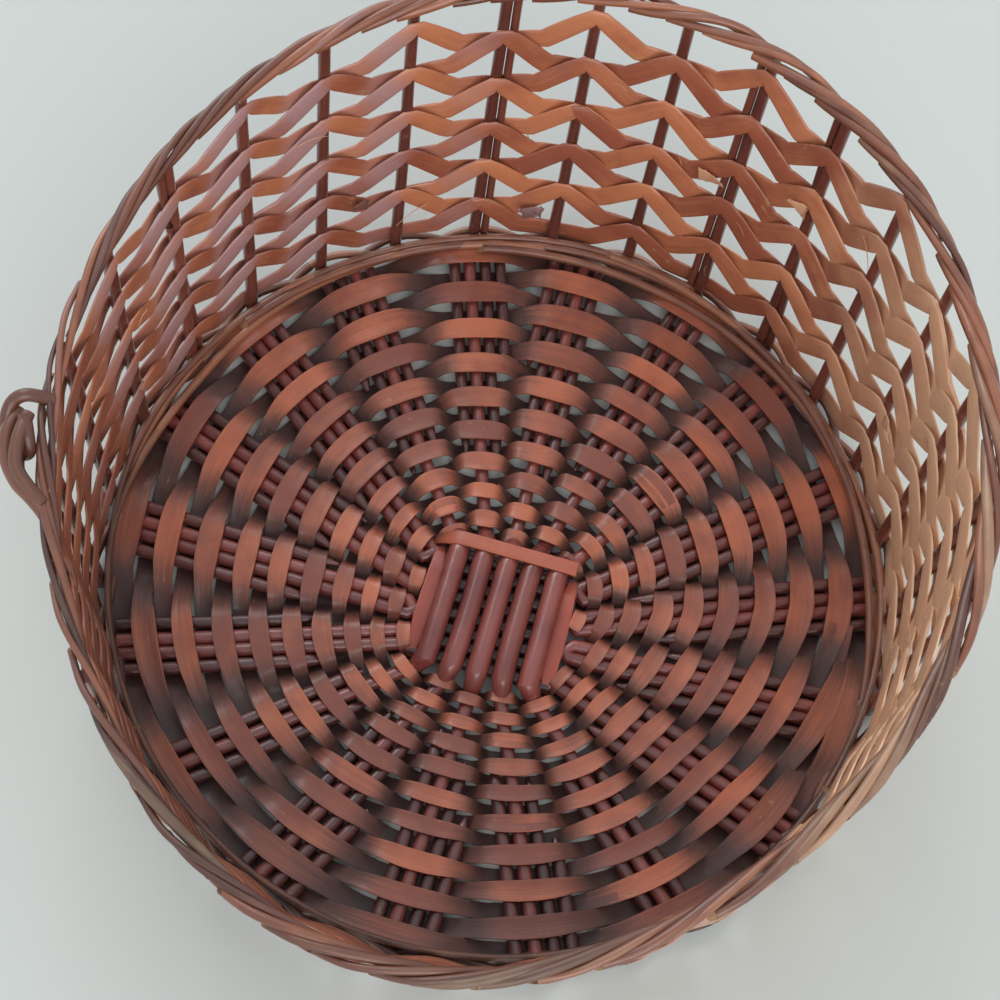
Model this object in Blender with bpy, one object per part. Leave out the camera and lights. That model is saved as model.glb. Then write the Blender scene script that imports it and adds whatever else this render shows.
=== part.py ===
"""Onion basket: a shallow round openwork basket of willow rods and flat willow splints.

The floor is woven on nine long sticks that cross in the middle. Upright stakes stand around its edge,
flat splints are woven through them, and plied rods bind the floor's edge and the rim.
The basket stands on the flat undersides of its floor weavers, at z = 0.
"""

import math

import bmesh
import bpy
from mathutils import Vector

MM = 0.001

# Overall form, measured on the line of the wall stakes
FLOOR_RADIUS = 123 * MM
RIM_HALF_WIDTH = 121 * MM
RIM_HALF_LENGTH = 137 * MM
RIM_SHIFT = 3 * MM
RIM_RISE = 10 * MM
RIM_CORNER_DRAW = 0.042
WALL_HEIGHT = 96 * MM

# Running gap between pieces that press on each other
CLEARANCE = 0.3 * MM

# Rods, by radius
STAKE_RADIUS = 2.0 * MM
STICK_RADIUS = 2.4 * MM
SIDE_ROD_RADIUS = 2.0 * MM
EDGE_ROD_RADIUS = 1.4 * MM
HOOP_RADIUS = 1.7 * MM
RIM_ROD_RADIUS = 1.4 * MM
LOOP_ROD_RADIUS = 2.2 * MM
ROD_SIDES = 6

# Wall of stakes and splints
STAKE_COUNT = 28
STAKE_FOOT = 1.0 * MM
WALL_SPLINT_COUNT = 10
WALL_SPLINT_WIDTH = 6.8 * MM
WALL_SPLINT_THICKNESS = 0.7 * MM
WALL_WIDTH_SHARES = (0.9, 1.0, 0.94, 1.0, 0.96, 0.88, 1.0, 0.95, 0.92, 0.8)
WALL_WAVE_SHARE = 1.25
WALL_CREST_SHARE = 0.3

# Rods plied around the floor's edge and the rim
EDGE_ROD_COUNT = 2
EDGE_LAY_SLACK = 0.25 * MM
EDGE_POINTS_PER_STAKE = 2
RIM_ROD_COUNT = 3
RIM_LAY_RADIUS = 2.15 * MM
RIM_LAY_TURNS = 18
RIM_POINTS_PER_TURN = 7

# Middle of the floor, where the long sticks lie across each other
SLATH_SHIFT_X = 3 * MM
SLATH_SHIFT_Y = -18 * MM
LONG_STICK_COUNT = 5
LONG_STICK_GAP = 3.2 * MM
CROSS_STICK_COUNT = 4
CROSS_STICK_GAP = 5.2 * MM
SLATH_FALL = 6.5 * MM
SLATH_SPLINT_WIDTH = 3.6 * MM
SLATH_SPLINT_OVERHANG = 3.0 * MM
SLATH_SPLINT_DIP = 3.0 * MM
SKEIN_WIDTH = 4.0 * MM
SKEIN_OVERHANG = 1.8 * MM

# Floor weaving, on two weavers that chase each other over and under the groups of rods
WEAVER_TURNS = 8
WEAVER_THICKNESS = 0.7 * MM
WEAVER_LANE_GAP = 0.4 * MM
WEAVER_CREST_MARGIN = 0.6 * MM
STEP_GROUPS = 2
SIDE_ROD_START_SHARE = 0.3
SIDE_ROD_SPREAD = 8.8 * MM
SIDE_ROD_LAP = 0.3 * MM

# Small loop of rod over the outside of the rim
LOOP_AZIMUTH = math.radians(199)
LOOP_LENGTH = 24 * MM
LOOP_START = math.radians(100)
LOOP_END = math.radians(-40)
LOOP_POINTS = 9

# Colours, roughness
FINISHES = {
    "stake_bark": ((0.115, 0.048, 0.043, 1.0), 0.38),
    "wall_splint": ((0.300, 0.112, 0.055, 1.0), 0.42),
    "floor_splint": ((0.215, 0.085, 0.055, 1.0), 0.45),
    "rim_rod": ((0.200, 0.085, 0.052, 1.0), 0.45),
    "slath_rod": ((0.190, 0.060, 0.055, 1.0), 0.30),
}

# Derived: the plies at the floor's edge and the rim
EDGE_LAY_RADIUS = STAKE_RADIUS + EDGE_ROD_RADIUS + CLEARANCE + EDGE_LAY_SLACK
EDGE_LAY_HEIGHT = EDGE_ROD_RADIUS + CLEARANCE
EDGE_REACH = EDGE_LAY_RADIUS + EDGE_ROD_RADIUS
EDGE_AXIS_HEIGHT = EDGE_LAY_HEIGHT + EDGE_ROD_RADIUS + CLEARANCE
EDGE_TOP = EDGE_AXIS_HEIGHT + EDGE_LAY_HEIGHT + EDGE_ROD_RADIUS
RIM_REACH = RIM_LAY_RADIUS + RIM_ROD_RADIUS

# Derived: the wall between the edge and the rim; the near side of the wall is the lowest
LOWEST_WALL_SHARE = 1 - RIM_RISE / (WALL_HEIGHT - EDGE_TOP)
SPLINTS_BOTTOM = EDGE_TOP + CLEARANCE / LOWEST_WALL_SHARE
SPLINTS_TOP = WALL_HEIGHT - (RIM_REACH + CLEARANCE) / LOWEST_WALL_SHARE
SPLINT_ROOM = SPLINTS_TOP - SPLINTS_BOTTOM - WALL_SPLINT_WIDTH
SPLINT_PITCH = SPLINT_ROOM / (WALL_SPLINT_COUNT - 1 + WALL_WAVE_SHARE)
SPLINT_OUTSET = STAKE_RADIUS + CLEARANCE + WALL_SPLINT_THICKNESS / 2
STAKE_PITCH = 2 * math.pi / STAKE_COUNT

# Derived: the floor
GROUP_COUNT = 2 * (LONG_STICK_COUNT + CROSS_STICK_COUNT)
GROUP_PITCH = 2 * math.pi / GROUP_COUNT
WEAVER_RISE = STICK_RADIUS + CLEARANCE + WEAVER_THICKNESS / 2
FLOOR_MID_HEIGHT = WEAVER_RISE + WEAVER_THICKNESS / 2
FLOOR_TOP = FLOOR_MID_HEIGHT + WEAVER_RISE + WEAVER_THICKNESS / 2
LANE_COUNT = 2 * WEAVER_TURNS
LONG_STICK_PITCH = 2 * STICK_RADIUS + LONG_STICK_GAP
CROSS_STICK_PITCH = 2 * STICK_RADIUS + CROSS_STICK_GAP
LONG_BUNDLE_HALF = LONG_STICK_PITCH * (LONG_STICK_COUNT - 1) / 2
CROSS_BUNDLE_HALF = CROSS_STICK_PITCH * (CROSS_STICK_COUNT - 1) / 2
LONG_STICK_HEIGHT = FLOOR_MID_HEIGHT + 2 * STICK_RADIUS + CLEARANCE
SPLINT_LINE = CROSS_BUNDLE_HALF + STICK_RADIUS + CLEARANCE + SLATH_SPLINT_WIDTH / 2
SLATH_HALF = SPLINT_LINE + SLATH_SPLINT_WIDTH / 2
ARM_START_RADIUS = math.hypot(LONG_BUNDLE_HALF, SLATH_HALF) + SLATH_FALL
WEAVE_INNER_RADIUS = ARM_START_RADIUS + STICK_RADIUS / 2
WEAVE_OUTER_RADIUS = FLOOR_RADIUS - EDGE_REACH - CLEARANCE
UP = Vector((0, 0, 1))


def clear_scene():
    """Remove whatever the file held."""
    for item in list(bpy.data.objects):
        bpy.data.objects.remove(item, do_unlink=True)


def finish(name):
    """Material of one finish, made once."""
    known = bpy.data.materials.get(name)
    if known:
        return known
    colour, roughness = FINISHES[name]
    material = bpy.data.materials.new(name)
    material.use_nodes = True
    shader = material.node_tree.nodes["Principled BSDF"]
    shader.inputs["Base Color"].default_value = colour
    shader.inputs["Roughness"].default_value = roughness
    shader.inputs["Metallic"].default_value = 0
    return material


def add_piece(name, shape, finish_name, smooth=True):
    """Turn a bmesh into a named object with its material."""
    bmesh.ops.recalc_face_normals(shape, faces=shape.faces)
    mesh = bpy.data.meshes.new(name)
    shape.to_mesh(mesh)
    shape.free()
    if smooth:
        mesh.shade_smooth()
        mesh.set_sharp_from_angle(angle=math.radians(50))
    mesh.materials.append(finish(finish_name))
    piece = bpy.data.objects.new(name, mesh)
    bpy.context.scene.collection.objects.link(piece)
    return piece


def loft(shape, sections, closed):
    """Skin a row of like sections into one body, as a ring or with capped ends."""
    rows = [[shape.verts.new(point) for point in section] for section in sections]
    followers = rows[1:] + rows[:1] if closed else rows[1:]
    for first, second in zip(rows, followers):
        for i in range(len(first)):
            j = (i + 1) % len(first)
            shape.faces.new((first[i], first[j], second[j], second[i]))
    if not closed:
        shape.faces.new(list(reversed(rows[0])))
        shape.faces.new(rows[-1])


def rod_sections(points, radius, side, closed):
    """Polygon sections square to a rod's path; side is a direction that stays across the rod."""
    sections = []
    count = len(points)
    for i, point in enumerate(points):
        before = points[i - 1] if closed or i > 0 else point
        after = points[(i + 1) % count] if closed or i < count - 1 else point
        along = (after - before).normalized()
        across = side(i) if callable(side) else side
        first = (across - along * across.dot(along)).normalized()
        second = along.cross(first)
        turns = [2 * math.pi * (n + 0.5) / ROD_SIDES for n in range(ROD_SIDES)]
        sections.append([point + (first * math.cos(a) + second * math.sin(a)) * radius for a in turns])
    return sections


def add_rod(name, points, radius, finish_name, side=UP, closed=False):
    """One round rod along a path."""
    shape = bmesh.new()
    loft(shape, rod_sections(points, radius, side, closed), closed)
    return add_piece(name, shape, finish_name)


def add_strip(name, sections, finish_name, closed=False):
    """One flat splint through four-cornered sections."""
    shape = bmesh.new()
    loft(shape, sections, closed)
    return add_piece(name, shape, finish_name, smooth=False)


def wall_outward(angle, height):
    """Level direction out of the wall."""
    share = height / WALL_HEIGHT
    half_x = FLOOR_RADIUS + (RIM_HALF_WIDTH - FLOOR_RADIUS) * share
    half_y = FLOOR_RADIUS + (RIM_HALF_LENGTH - FLOOR_RADIUS) * share
    return Vector((math.cos(angle) / half_x, math.sin(angle) / half_y, 0)).normalized()


def corner_draw(angle, share):
    """Factor that draws the two near corners of the rim in, fading to none at the floor."""
    near = 1 if math.sin(angle) < 0 else 0
    return 1 - RIM_CORNER_DRAW * share * near * math.sin(2 * angle) ** 2


def wall_point(angle, height, outset=0.0):
    """Point on the stakes' line at a height up the wall, or outset from it."""
    share = height / WALL_HEIGHT
    draw = corner_draw(angle, share)
    half_x = (FLOOR_RADIUS + (RIM_HALF_WIDTH - FLOOR_RADIUS) * share) * draw
    half_y = (FLOOR_RADIUS + (RIM_HALF_LENGTH - FLOOR_RADIUS) * share) * draw
    above_edge = max(0.0, (height - EDGE_TOP) / (WALL_HEIGHT - EDGE_TOP))
    point = Vector((
        half_x * math.cos(angle),
        half_y * math.sin(angle) + RIM_SHIFT * share,
        height + RIM_RISE * above_edge * math.sin(angle),
    ))
    return point + wall_outward(angle, height) * outset


def stake_angle(index):
    """Where a stake stands around the floor."""
    return (index + 0.5) * STAKE_PITCH


def build_stakes():
    """Upright stakes, from the floor's edge to the underside of the rim."""
    for index in range(STAKE_COUNT):
        angle = stake_angle(index)
        heights = (STAKE_FOOT, EDGE_TOP, SPLINTS_TOP)
        points = [wall_point(angle, height) for height in heights]
        add_rod(f"stake_{index + 1:02d}", points, STAKE_RADIUS, "stake_bark", side=wall_outward(angle, 0))


def wall_splint_section(angle, height, outset, width):
    """Upright four-cornered section of a wall splint."""
    low, high = height - width / 2, height + width / 2
    near, far = outset - WALL_SPLINT_THICKNESS / 2, outset + WALL_SPLINT_THICKNESS / 2
    return [
        wall_point(angle, low, near),
        wall_point(angle, high, near),
        wall_point(angle, high, far),
        wall_point(angle, low, far),
    ]


def build_wall_splints():
    """Rows of flat splints: high where they pass inside a stake, low where they pass outside."""
    first_row = SPLINTS_BOTTOM + (WALL_SPLINT_WIDTH + SPLINT_PITCH * WALL_WAVE_SHARE) / 2
    for row in range(WALL_SPLINT_COUNT):
        width = WALL_SPLINT_WIDTH * WALL_WIDTH_SHARES[row % len(WALL_WIDTH_SHARES)]
        middle = first_row + row * SPLINT_PITCH
        sections = []
        for index in range(STAKE_COUNT):
            inside = (row + index) % 2 == 0
            swing = (SPLINT_PITCH if inside else -SPLINT_PITCH) * WALL_WAVE_SHARE / 2
            outset = -SPLINT_OUTSET if inside else SPLINT_OUTSET
            for step in (-WALL_CREST_SHARE, 0, WALL_CREST_SHARE):
                height = middle + swing * (1 - 2 * abs(step))
                angle = stake_angle(index + step)
                sections.append(wall_splint_section(angle, height, outset, width))
        add_strip(f"wall_splint_{row + 1:02d}", sections, "wall_splint", closed=True)


def plied_ring(height, lay_radius, lay_height, turns, points, phase):
    """Path of one rod of a ply that runs around the wall at a height."""
    path = []
    for step in range(points):
        angle = 2 * math.pi * step / points + stake_angle(0)
        turn = turns * (angle - stake_angle(0)) + phase
        axis = wall_point(angle, height)
        outward = wall_outward(angle, height)
        path.append(axis - outward * (lay_radius * math.cos(turn)) + UP * (lay_height * math.sin(turn)))
    return path


def build_edge():
    """Two rods twisted around the stakes' feet, and a hoop on the floor inside them."""
    for number in range(EDGE_ROD_COUNT):
        phase = 2 * math.pi * number / EDGE_ROD_COUNT
        points = EDGE_POINTS_PER_STAKE * STAKE_COUNT
        path = plied_ring(EDGE_AXIS_HEIGHT, EDGE_LAY_RADIUS, EDGE_LAY_HEIGHT, STAKE_COUNT / 2, points, phase)
        add_rod(f"edge_rod_{number + 1}", path, EDGE_ROD_RADIUS, "rim_rod", closed=True)
    radius = WEAVE_OUTER_RADIUS - HOOP_RADIUS
    height = FLOOR_TOP + CLEARANCE + HOOP_RADIUS
    angles = [2 * math.pi * step / (2 * STAKE_COUNT) for step in range(2 * STAKE_COUNT)]
    hoop = [Vector((radius * math.cos(a), radius * math.sin(a), height)) for a in angles]
    add_rod("floor_hoop", hoop, HOOP_RADIUS, "rim_rod", closed=True)


def build_rim():
    """Rods plied into a border on top of the stakes."""
    for number in range(RIM_ROD_COUNT):
        phase = 2 * math.pi * number / RIM_ROD_COUNT
        points = RIM_LAY_TURNS * RIM_POINTS_PER_TURN
        path = plied_ring(WALL_HEIGHT, RIM_LAY_RADIUS, RIM_LAY_RADIUS, RIM_LAY_TURNS, points, phase)
        add_rod(f"rim_rod_{number + 1}", path, RIM_ROD_RADIUS, "rim_rod", closed=True)


def build_rim_loop():
    """Short rod bent over the outside of the border."""
    lay_radius = RIM_REACH + CLEARANCE + LOOP_ROD_RADIUS
    path = []
    for step in range(LOOP_POINTS):
        share = step / (LOOP_POINTS - 1)
        angle = LOOP_AZIMUTH + (share - 0.5) * LOOP_LENGTH / RIM_HALF_WIDTH
        turn = LOOP_START + (LOOP_END - LOOP_START) * share
        outward = wall_outward(angle, WALL_HEIGHT)
        path.append(wall_point(angle, WALL_HEIGHT) + (outward * math.cos(turn) + UP * math.sin(turn)) * lay_radius)
    add_rod("rim_loop", path, LOOP_ROD_RADIUS, "rim_rod", side=wall_outward(LOOP_AZIMUTH, WALL_HEIGHT).cross(UP) + UP)


def weave_radius(share):
    """Radius of the weaving's rounds, from its inner round at 0 to its outer one at 1."""
    return WEAVE_INNER_RADIUS + (WEAVE_OUTER_RADIUS - WEAVE_INNER_RADIUS) * share


def floor_point(angle, share, height):
    """Point on the floor: the rounds are centred on the slath inside and on the floor outside."""
    radius = weave_radius(share)
    centre = Vector((SLATH_SHIFT_X, SLATH_SHIFT_Y, 0)) * (1 - share)
    return centre + Vector((radius * math.cos(angle), radius * math.sin(angle), height))


def group_angle(index):
    """Direction of a group of floor rods."""
    return (index + 0.5) * GROUP_PITCH


def side_rod_offset(share):
    """Distance of a side rod from its stick, which grows towards the floor's edge."""
    start = STICK_RADIUS + SIDE_ROD_RADIUS - SIDE_ROD_LAP
    part = (share - SIDE_ROD_START_SHARE) / (1 - SIDE_ROD_START_SHARE)
    return start + (SIDE_ROD_SPREAD - start) * max(0.0, part)


def group_half_angle(share):
    """Half of the angle that a weaver's float covers over one group."""
    inner = share - 0.5 / LANE_COUNT
    half_width = STICK_RADIUS
    if share + 1 / LANE_COUNT > SIDE_ROD_START_SHARE:
        half_width = side_rod_offset(share) + SIDE_ROD_RADIUS
    return (half_width + WEAVER_CREST_MARGIN) / weave_radius(inner)


def weaver_section(angle, share, height):
    """Flat four-cornered section of a floor weaver, as wide as its lane leaves room for."""
    half_lane = 0.5 / LANE_COUNT
    inner = floor_point(angle, share - half_lane, 0)
    outer = floor_point(angle, share + half_lane, 0)
    trim = (outer - inner).normalized() * (WEAVER_LANE_GAP / 2)
    low, high = UP * (height - WEAVER_THICKNESS / 2), UP * (height + WEAVER_THICKNESS / 2)
    inner += trim
    outer -= trim
    return [inner + low, outer + low, outer + high, inner + high]


def lane_share(position, weaver):
    """Where a weaver lies between the inner and outer round: level, then a step of two lanes each turn."""
    turn, within = divmod(position, GROUP_COUNT)
    step = min(1.0, max(0.0, (within - (GROUP_COUNT - STEP_GROUPS)) / STEP_GROUPS))
    return (2 * (turn + step) + weaver + 0.5) / LANE_COUNT


def build_floor_weavers():
    """Two weavers, each over the groups that the other passes under."""
    for weaver in range(2):
        sections = []
        for position in range(WEAVER_TURNS * GROUP_COUNT - STEP_GROUPS):
            over = (position + weaver) % 2 == 0
            height = FLOOR_MID_HEIGHT + (WEAVER_RISE if over else -WEAVER_RISE)
            half = group_half_angle(lane_share(position, weaver)) / GROUP_PITCH
            for place in (position - half, position + half):
                share = lane_share(max(0.0, place), weaver)
                sections.append(weaver_section(group_angle(place), share, height))
        add_strip(f"floor_weaver_{weaver + 1}", sections, "floor_splint")


def add_side_rods(name, groups):
    """Guide that holds the rods pushed in on both sides of a stick, at both of its ends."""
    shape = bmesh.new()
    for group in groups:
        angle = group_angle(group)
        root = floor_point(angle, SIDE_ROD_START_SHARE, FLOOR_MID_HEIGHT)
        tip = floor_point(angle, 1, FLOOR_MID_HEIGHT)
        across = (tip - root).normalized().cross(UP)
        for hand in (-1, 1):
            start = root + across * hand * side_rod_offset(SIDE_ROD_START_SHARE)
            spread = -hand * SIDE_ROD_SPREAD / WEAVE_OUTER_RADIUS
            end = floor_point(angle + spread, 1, FLOOR_MID_HEIGHT)
            end -= (end - start).normalized() * CLEARANCE
            loft(shape, rod_sections([start, end], SIDE_ROD_RADIUS, UP, False), False)
    guide = add_piece(name, shape, "stake_bark")
    guide.hide_render = True
    guide.display_type = "WIRE"
    return guide


def add_stick(name, groups, offset, along, half_length, height):
    """Stick across the slath, splayed at both ends to the middle of its groups."""
    centre = Vector((SLATH_SHIFT_X, SLATH_SHIFT_Y, 0))
    across = Vector((along.y, -along.x, 0))
    path = []
    for group, hand in zip(groups, (-1, 1)):
        angle = group_angle(group)
        direction = Vector((math.cos(angle), math.sin(angle), 0))
        end = floor_point(angle, 1, FLOOR_MID_HEIGHT) - direction * CLEARANCE
        start = centre + direction * ARM_START_RADIUS + UP * FLOOR_MID_HEIGHT
        bend = centre + across * offset + along * hand * half_length + UP * height
        arm = [end, start, bend]
        path += arm if hand < 0 else list(reversed(arm))
    stick = add_rod(name, path, STICK_RADIUS, "slath_rod")
    join = stick.modifiers.new("side_rods", "BOOLEAN")
    join.operation = "UNION"
    join.solver = "EXACT"
    join.object = add_side_rods(name + "_side_rods", groups)
    return stick


def build_sticks():
    """Long sticks on top and cross sticks below, each splayed into two of the floor's groups."""
    quarter = GROUP_COUNT // 2
    first_right = -(CROSS_STICK_COUNT // 2)
    first_far = first_right + CROSS_STICK_COUNT
    for number in range(LONG_STICK_COUNT):
        far = first_far + LONG_STICK_COUNT - 1 - number
        near = first_far + quarter + number
        offset = (number - (LONG_STICK_COUNT - 1) / 2) * LONG_STICK_PITCH
        add_stick(
            f"long_stick_{number + 1}", (near, far), offset, Vector((0, 1, 0)), SLATH_HALF, LONG_STICK_HEIGHT
        )
    for number in range(CROSS_STICK_COUNT):
        right = first_right + number
        left = first_right + quarter + CROSS_STICK_COUNT - 1 - number
        offset = (number - (CROSS_STICK_COUNT - 1) / 2) * CROSS_STICK_PITCH
        add_stick(
            f"cross_stick_{number + 1}", (left, right), -offset, Vector((1, 0, 0)), SLATH_HALF, FLOOR_MID_HEIGHT
        )


def flat_section(point, across, width, thickness):
    """Four-cornered section of a flat strip that lies level."""
    half = across * (width / 2)
    lift = UP * (thickness / 2)
    return [point - half - lift, point + half - lift, point + half + lift, point - half + lift]


def build_slath_trim():
    """Splint over the far ends of the long sticks, and a skein on each side of them."""
    centre = Vector((SLATH_SHIFT_X, SLATH_SHIFT_Y, 0))
    height = LONG_STICK_HEIGHT + WEAVER_RISE
    reach = LONG_BUNDLE_HALF + STICK_RADIUS + CLEARANCE
    places = (
        (-reach - SLATH_SPLINT_OVERHANG, height - SLATH_SPLINT_DIP),
        (-reach, height),
        (reach + SLATH_SPLINT_OVERHANG, height),
    )
    points = [centre + Vector((x, SPLINT_LINE, z)) for x, z in places]
    sections = [flat_section(p, Vector((0, 1, 0)), SLATH_SPLINT_WIDTH, WEAVER_THICKNESS) for p in points]
    add_strip("slath_splint", sections, "floor_splint")
    half_length = CROSS_BUNDLE_HALF + SKEIN_OVERHANG
    for name, hand in (("slath_skein_left", -1), ("slath_skein_right", 1)):
        x = hand * (reach + CLEARANCE + SKEIN_WIDTH / 2)
        z = FLOOR_MID_HEIGHT + WEAVER_RISE
        points = [centre + Vector((x, y, z)) for y in (-half_length, half_length)]
        sections = [flat_section(p, Vector((1, 0, 0)), SKEIN_WIDTH, WEAVER_THICKNESS) for p in points]
        add_strip(name, sections, "slath_rod")


def settle_origin():
    """Move every piece so that the origin is at the bottom centre of the whole basket's box."""
    pieces = list(bpy.data.objects)
    solids = [piece for piece in pieces if not piece.hide_render]
    corners = [vertex.co for piece in solids for vertex in piece.data.vertices]
    middle = Vector((
        (min(c.x for c in corners) + max(c.x for c in corners)) / 2,
        (min(c.y for c in corners) + max(c.y for c in corners)) / 2,
        min(c.z for c in corners),
    ))
    for piece in pieces:
        piece.location = -middle


def main():
    """Build the whole basket."""
    clear_scene()
    build_sticks()
    build_slath_trim()
    build_floor_weavers()
    build_edge()
    build_stakes()
    build_wall_splints()
    build_rim()
    build_rim_loop()
    settle_origin()


main()
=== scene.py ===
"""Onion basket of dark willow: rods and splints woven around a fixed CAD frame.

Every rod and splint is a chain of points with values for thickness, colour and wear, and for the shade, light and
reflection painted on it. Geometry Nodes trees sweep the chains into rods and flat splints, and the finished
meshes take the places of the CAD solids.
"""
import logging
import math
import random
from dataclasses import dataclass, field
from enum import Enum
from typing import Iterable, Optional, Union

import bpy
from bpy.types import Material, Mesh, Node, NodeSocket, NodeTree, Object
from mathutils import Matrix, Vector


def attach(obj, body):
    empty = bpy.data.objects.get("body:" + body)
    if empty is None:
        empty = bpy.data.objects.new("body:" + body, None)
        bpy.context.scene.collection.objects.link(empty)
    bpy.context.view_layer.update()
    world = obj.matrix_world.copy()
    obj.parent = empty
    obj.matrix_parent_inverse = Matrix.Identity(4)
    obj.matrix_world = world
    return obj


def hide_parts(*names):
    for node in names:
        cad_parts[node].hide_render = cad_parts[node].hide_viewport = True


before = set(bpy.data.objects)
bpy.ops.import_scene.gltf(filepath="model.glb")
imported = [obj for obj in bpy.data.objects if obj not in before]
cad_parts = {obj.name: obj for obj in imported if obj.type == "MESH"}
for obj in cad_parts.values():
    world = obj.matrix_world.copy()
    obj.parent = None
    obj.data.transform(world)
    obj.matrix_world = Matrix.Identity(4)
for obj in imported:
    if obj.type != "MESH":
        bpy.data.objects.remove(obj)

LOG = logging.getLogger("onion_basket")
UP = Vector((0.0, 0.0, 1.0))
MM = 0.001
TURN = 2.0 * math.pi
Colour = tuple[float, float, float, float]
Sockets = bpy.types.bpy_prop_collection


def srgb(red: int, green: int, blue: int) -> Colour:
    """Turn a colour as seen on a screen into Blender's linear values.

    Args:
        red: Red from 0 to 255.
        green: Green from 0 to 255.
        blue: Blue from 0 to 255.

    Returns:
        Linear red, green, blue and an alpha of 1.
    """
    def linear(value: int) -> float:
        """Linear value of one channel."""
        share = value / 255.0
        return share / 12.92 if share <= 0.04045 else ((share + 0.055) / 1.055) ** 2.4

    return (linear(red), linear(green), linear(blue), 1.0)


def smooth(share: float) -> float:
    """Ease a share from 0 to 1 with level ends."""
    share = min(1.0, max(0.0, share))
    return share * share * (3.0 - 2.0 * share)


def blend(first: float, second: float, share: float) -> float:
    """Value between two others."""
    return first + (second - first) * share


def shares(steps: int) -> list[float]:
    """Even steps from 0 to 1, both included."""
    return [step / steps for step in range(steps + 1)]


def make_object(name: str, data: bpy.types.ID) -> Object:
    """New object in the scene, at the origin."""
    made = bpy.data.objects.new(name, data)
    bpy.context.scene.collection.objects.link(made)
    return made


def curve_through(spots: list[Vector], steps: int = 6) -> list[Vector]:
    """Smooth chain of points through a few given ones.

    Args:
        spots: Points to pass through.
        steps: Points made for each stretch between two of them.

    Returns:
        The chain, with both ends kept.
    """
    points = []
    for index in range(len(spots) - 1):
        before, here = spots[max(0, index - 1)], spots[index]
        there, after = spots[index + 1], spots[min(len(spots) - 1, index + 2)]
        for step in range(steps):
            t = step / steps
            points.append(0.5 * (2.0 * here + (there - before) * t
                                 + (2.0 * before - 5.0 * here + 4.0 * there - after) * t * t
                                 + (3.0 * here - before - 3.0 * there + after) * t * t * t))
    return points + [spots[-1].copy()]


# ---- Node trees


class NodeBench:
    """Places nodes in a tree and joins their sockets."""

    def __init__(self, tree: NodeTree) -> None:
        """Start on a tree."""
        self.tree = tree

    def add(self, kind: str, inputs: Optional[dict] = None, **settings: object) -> Node:
        """Place one node.

        Args:
            kind: The node's type name.
            inputs: Socket name or index to a value or to an output socket.
            settings: Properties of the node.

        Returns:
            The new node.
        """
        node = self.tree.nodes.new(kind)
        node.location = (len(self.tree.nodes) * 180.0, 0.0)
        for name, value in settings.items():
            setattr(node, name, value)
        self.feed(node, inputs or {})
        return node

    def feed(self, node: Node, inputs: dict) -> None:
        """Link a node's inputs, or set their values.

        Args:
            node: Node to feed.
            inputs: Socket name or index to a value or to an output socket.
        """
        for key, value in inputs.items():
            if isinstance(value, NodeSocket):
                self.tree.links.new(value, node.inputs[key])
            else:
                node.inputs[key].default_value = value

    def out(self, kind: str, inputs: Optional[dict] = None, **settings: object) -> NodeSocket:
        """First output of a new node."""
        return self.add(kind, inputs, **settings).outputs[0]

    def math(self, operation: str, first: object, second: object = 0.0, third: object = 0.0) -> NodeSocket:
        """Output of a Math node."""
        return self.out("ShaderNodeMath", {0: first, 1: second, 2: third}, operation=operation)

    def vector(self, operation: str, first: object, second: object) -> NodeSocket:
        """Vector output of a Vector Math node."""
        return self.out("ShaderNodeVectorMath", {0: first, 1: second}, operation=operation)

    def scaled(self, vector: object, factor: object) -> NodeSocket:
        """Vector times a number."""
        return self.out("ShaderNodeVectorMath", {"Vector": vector, "Scale": factor}, operation="SCALE")

    def span(self, value: object, low: float, high: float, to_low: float = 0.0, to_high: float = 1.0) -> NodeSocket:
        """Value carried smoothly from one span to another.

        Args:
            value: Socket with the value.
            low: Start of the first span.
            high: End of the first span.
            to_low: Start of the second span.
            to_high: End of the second span.

        Returns:
            The carried value's socket.
        """
        return self.out("ShaderNodeMapRange", {0: value, 1: low, 2: high, 3: to_low, 4: to_high},
                        interpolation_type="SMOOTHSTEP")

    def mix(self, factor: object, first: object, second: object) -> NodeSocket:
        """Colour mixed from two others.

        Args:
            factor: Share of the second colour.
            first: Colour at a factor of 0.
            second: Colour at a factor of 1.

        Returns:
            The mixed colour's socket.
        """
        return self.add("ShaderNodeMix", {0: factor, 6: first, 7: second}, data_type="RGBA").outputs[2]


class Section(Enum):
    """Form of a strand's cross-section."""

    ROUND = "round"
    FLAT = "flat"


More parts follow.
